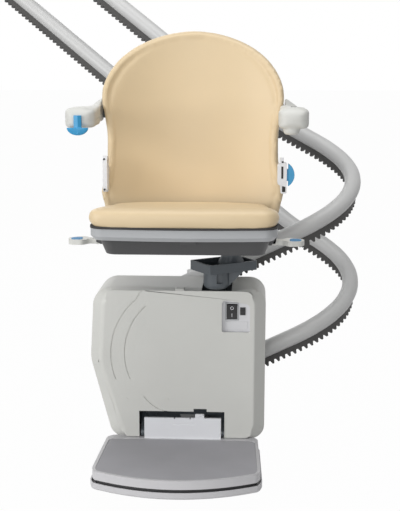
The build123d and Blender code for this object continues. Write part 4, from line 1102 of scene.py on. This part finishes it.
def slot_shade_and_lining_block(name, node, low, high, radius_mm):
    """A small dark block that rides with a node, for painted slot shade and for the clip's dark
    lining.
    """
    piece = block(name, low, high)
    round_edges(piece, radius_mm)
    hand_over(piece, slot="dark_plastic", body=BODY_OF[node], look="black_and_slot_shade")
    print(name, [round(value, 4) for value in piece.dimensions])


def surface_at(piece, start, aim):
    """Where a straight line from a point first meets a piece."""
    bpy.context.view_layer.update()
    found, place, *_ = piece.ray_cast(Vector(start), Vector(aim))
    if not found:
        raise ValueError(piece.name + " isn't met")
    return place


for name, settings in DARK_BLOCKS.items():
    slot_shade_and_lining_block(name, *settings)
cap = bpy.data.objects["armrest_plus_x_moulding"]
cap_top = surface_at(cap, (0.2365, -0.368, 0.95), (0, 0, -1)).z
# a dark block paints the shade in the slot of the arm's cap
slot_shade_and_lining_block(
    "arm_cap_slot",
    "armrest_plus_x",
    (0.2300, -0.3695, cap_top - 0.0015),
    (0.2430, -0.3665, cap_top + 0.0006),
    0.5,
)

# %% [markdown]
# ## Screws and the seat base's tab
# Screw heads sit where the belt guide and the backrest's shell are fixed. One head is
# modelled, with a recess for the tool, and copied to every place. Instances would
# share one mesh, but each copy here has its own, so that it can be told apart in the
# export.


# %% One screw, copied to each fixing
def screw(name, radius):
    """A pan head with a round recess, facing the front, at the origin."""
    head = disc(name, (0, 0, 0), radius, 0.0016)
    pick(head, faces_front, "FACE")
    bpy.ops.mesh.inset(thickness=radius * 0.28)
    bpy.ops.transform.translate(value=(0, -0.0004, 0))
    bpy.ops.mesh.inset(thickness=radius * 0.26)
    bpy.ops.transform.translate(value=(0, 0.0010, 0))
    leave_edit()
    shade_by_angle(head)
    return head


GUIDE_X, GUIDE_LOW, GUIDE_TOP = -0.2070, 0.6905, 0.7635
guide_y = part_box("belt_guide")[0].y - 0.0004
top_screw = screw("belt_guide_screw_top", 0.0024)
low_screw = copy_of(top_screw, "belt_guide_screw_low", (GUIDE_X, guide_y, GUIDE_LOW))
shift(top_screw, lambda place: True, (GUIDE_X, guide_y, GUIDE_TOP))
for piece in (top_screw, low_screw):
    hand_over(piece, slot="dark_plastic", body=BODY_OF["belt_guide"], look="black_and_slot_shade")

shell = bpy.data.objects["backrest_shell_moulding"]
rear_screw = screw("shell_screw", 0.0045)
pick_all(rear_screw)
bpy.ops.transform.rotate(value=math.pi, orient_axis="Z", center_override=(0, 0, 0))
leave_edit()
fixings = [(x, z) for x in (-0.15, 0.15) for z in (0.72, 0.96)]
for number, (x, z) in enumerate(fixings, start=1):
    rear_y = surface_at(shell, (x, 0.1, z), (0, -1, 0)).y
    twin = copy_of(rear_screw, "shell_screw_" + str(number), (x, rear_y + 0.0003, z))
    hand_over(twin, slot="dark_metal", body=BODY_OF["backrest_shell"])
bpy.data.objects.remove(rear_screw)
print("screws on the shell:", len(fixings))

# %% A tab under the front of the seat
tab = block("seat_base_tab", (-0.0085, -0.4785, 0.602), (0.0265, -0.4725, 0.6095))
round_edges(tab, 1.0)
hand_over(tab, slot="dark_plastic", body=BODY_OF["seat_base_cover"])
print("tab", [round(value, 4) for value in tab.dimensions])

# %% [markdown]
# ## Padded backrest and seat
# Both are foam under stretched vinyl. A slab from the CAD has hard edges, so we
# remesh it into small even quads, relax it, and let a cloth simulation with a little
# pressure fill it out. Sculpting would do it too, but never twice alike. A cap on how
# far each point moves keeps the pad in its place.


# %% Inflate a pad
PRESSURE = 4.0
SIM_FRAMES = 20


def inflate(piece, cap_mm):
    """Cloth with pressure and no gravity; no point may move further than the cap."""
    before = [vertex.co.copy() for vertex in piece.data.vertices]
    activate(piece)
    cloth = piece.modifiers.new("fill", "CLOTH")
    cloth.settings.use_pressure = True
    cloth.settings.uniform_pressure_force = PRESSURE
    cloth.settings.effector_weights.gravity = 0
    cloth.settings.quality = 4
    cloth.settings.mass = 0.3
    cloth.point_cache.frame_start = 1
    cloth.point_cache.frame_end = SIM_FRAMES
    for number in range(1, SIM_FRAMES + 1):
        scene.frame_set(number)
    bpy.ops.object.modifier_apply(modifier="fill")
    scene.frame_set(1)
    furthest = 0.0
    for vertex, start in zip(piece.data.vertices, before):
        move = vertex.co - start
        furthest = max(furthest, move.length)
        if move.length > cap_mm / 1000:
            vertex.co = start + move.normalized() * (cap_mm / 1000)
    print(piece.name, "moved up to", round(furthest * 1000, 1), "mm")


def make_pad(node, name, rounds, regain_mm):
    """A padded piece from a hard slab; what relaxing takes away is regained."""
    pad = merged_copy(node, name)
    remesh(pad, 5.0)
    relax(pad, rounds)
    shade_smooth(pad)
    grow_all(pad, regain_mm)
    inflate(pad, 2.5)
    relax(pad, 2)
    apply_modifier(pad, "SUBSURF", levels=1, render_levels=1)
    shade_smooth(pad)
    hand_over(pad, node)
    print(name, len(pad.data.polygons), "faces", [round(v, 3) for v in pad.dimensions])
    return pad


backrest = make_pad("backrest_pad", "backrest_cushion", 26, 1.4)
seat = make_pad("seat_pad", "seat_cushion", 30, 1.6)

# %% [markdown]
# ## The roll round the backrest and the seat's lifted ends
# The backrest's vinyl is drawn over a soft bolster that follows its outline, with the
# face inside it a little hollow. A crease in the mesh would need a loop of its own
# there. Each point is moved by its distance from the outline instead. The seat's
# underside rises at both ends, where the vinyl is pulled under.


# %% Move points by where they lie
def roll_rim(pad, width_mm, rise_mm, dish_mm):
    """Raises a soft bolster along the outline and dishes the face inside it."""
    mesh = pad.data
    outline = [vertex for vertex in mesh.vertices if abs(vertex.normal.y) < 0.4]
    finder = KDTree(len(outline))
    for index, vertex in enumerate(outline):
        finder.insert(vertex.co, index)
    finder.balance()
    moves = []
    for vertex in mesh.vertices:
        away = finder.find(vertex.co)[2] / (width_mm / 1000)
        facing = ramp(-vertex.normal.y, 0.3, 0.5)
        bolster = math.exp(-((away - 0.9) ** 2) / 0.28) * rise_mm
        dish = ramp(away, 1.1, 0.9) * dish_mm
        moves.append(vertex.normal * (facing * (bolster - dish) / 1000))
    for vertex, move in zip(mesh.vertices, moves):
        vertex.co += move
    print(pad.name, "rolled along", len(outline), "points of its outline")


def lift_ends(pad, rise):
    """Raises the underside towards both ends."""
    for vertex in pad.data.vertices:
        place = vertex.co
        outward = ramp(abs(place.x), 0.150, 0.057)
        low = ramp(-place.z, -0.668, 0.020)
        place.z += rise * outward * outward * low
    print(pad.name, "underside raised by up to", rise * 1000, "mm")


roll_rim(backrest, 11.0, 1.6, 2.0)
lift_ends(seat, 0.009)

# %% [markdown]
# ## The board under the seat cushion, and painted shade in its groove
# A dark line shows between the cushion and its tray. Part of it is the edge of the board
# that the vinyl is fixed to, and part is shade in the groove there, which the dark slice
# paints darker. A separate outline would have to be traced. Two cuts through a copy of
# the CAD pad give a thin slice with the right outline, drawn in a little.

# %% The dark board between the seat cushion and its tray, darkened as painted groove shade
BOARD_LOW, BOARD_TOP = 0.6415, 0.6465
board = merged_copy("seat_pad", "seat_board_edge_and_groove_shade")
cut_away(board, (0, 0, BOARD_LOW), (0, 0, 1))
cut_away(board, (0, 0, BOARD_TOP), (0, 0, 1), keep_above=False)
pick_all(board)
bpy.ops.transform.resize(value=(0.982, 0.985, 1), center_override=(0, -0.34, 0.644))
bpy.ops.transform.translate(value=(0, 0, -0.0008))
leave_edit()
round_edges(board, 0.8, segments=2)
hand_over(board, slot="dark_plastic", body=BODY_OF["seat_pad"], look="black_and_slot_shade")
print("board", [round(value, 4) for value in board.dimensions])
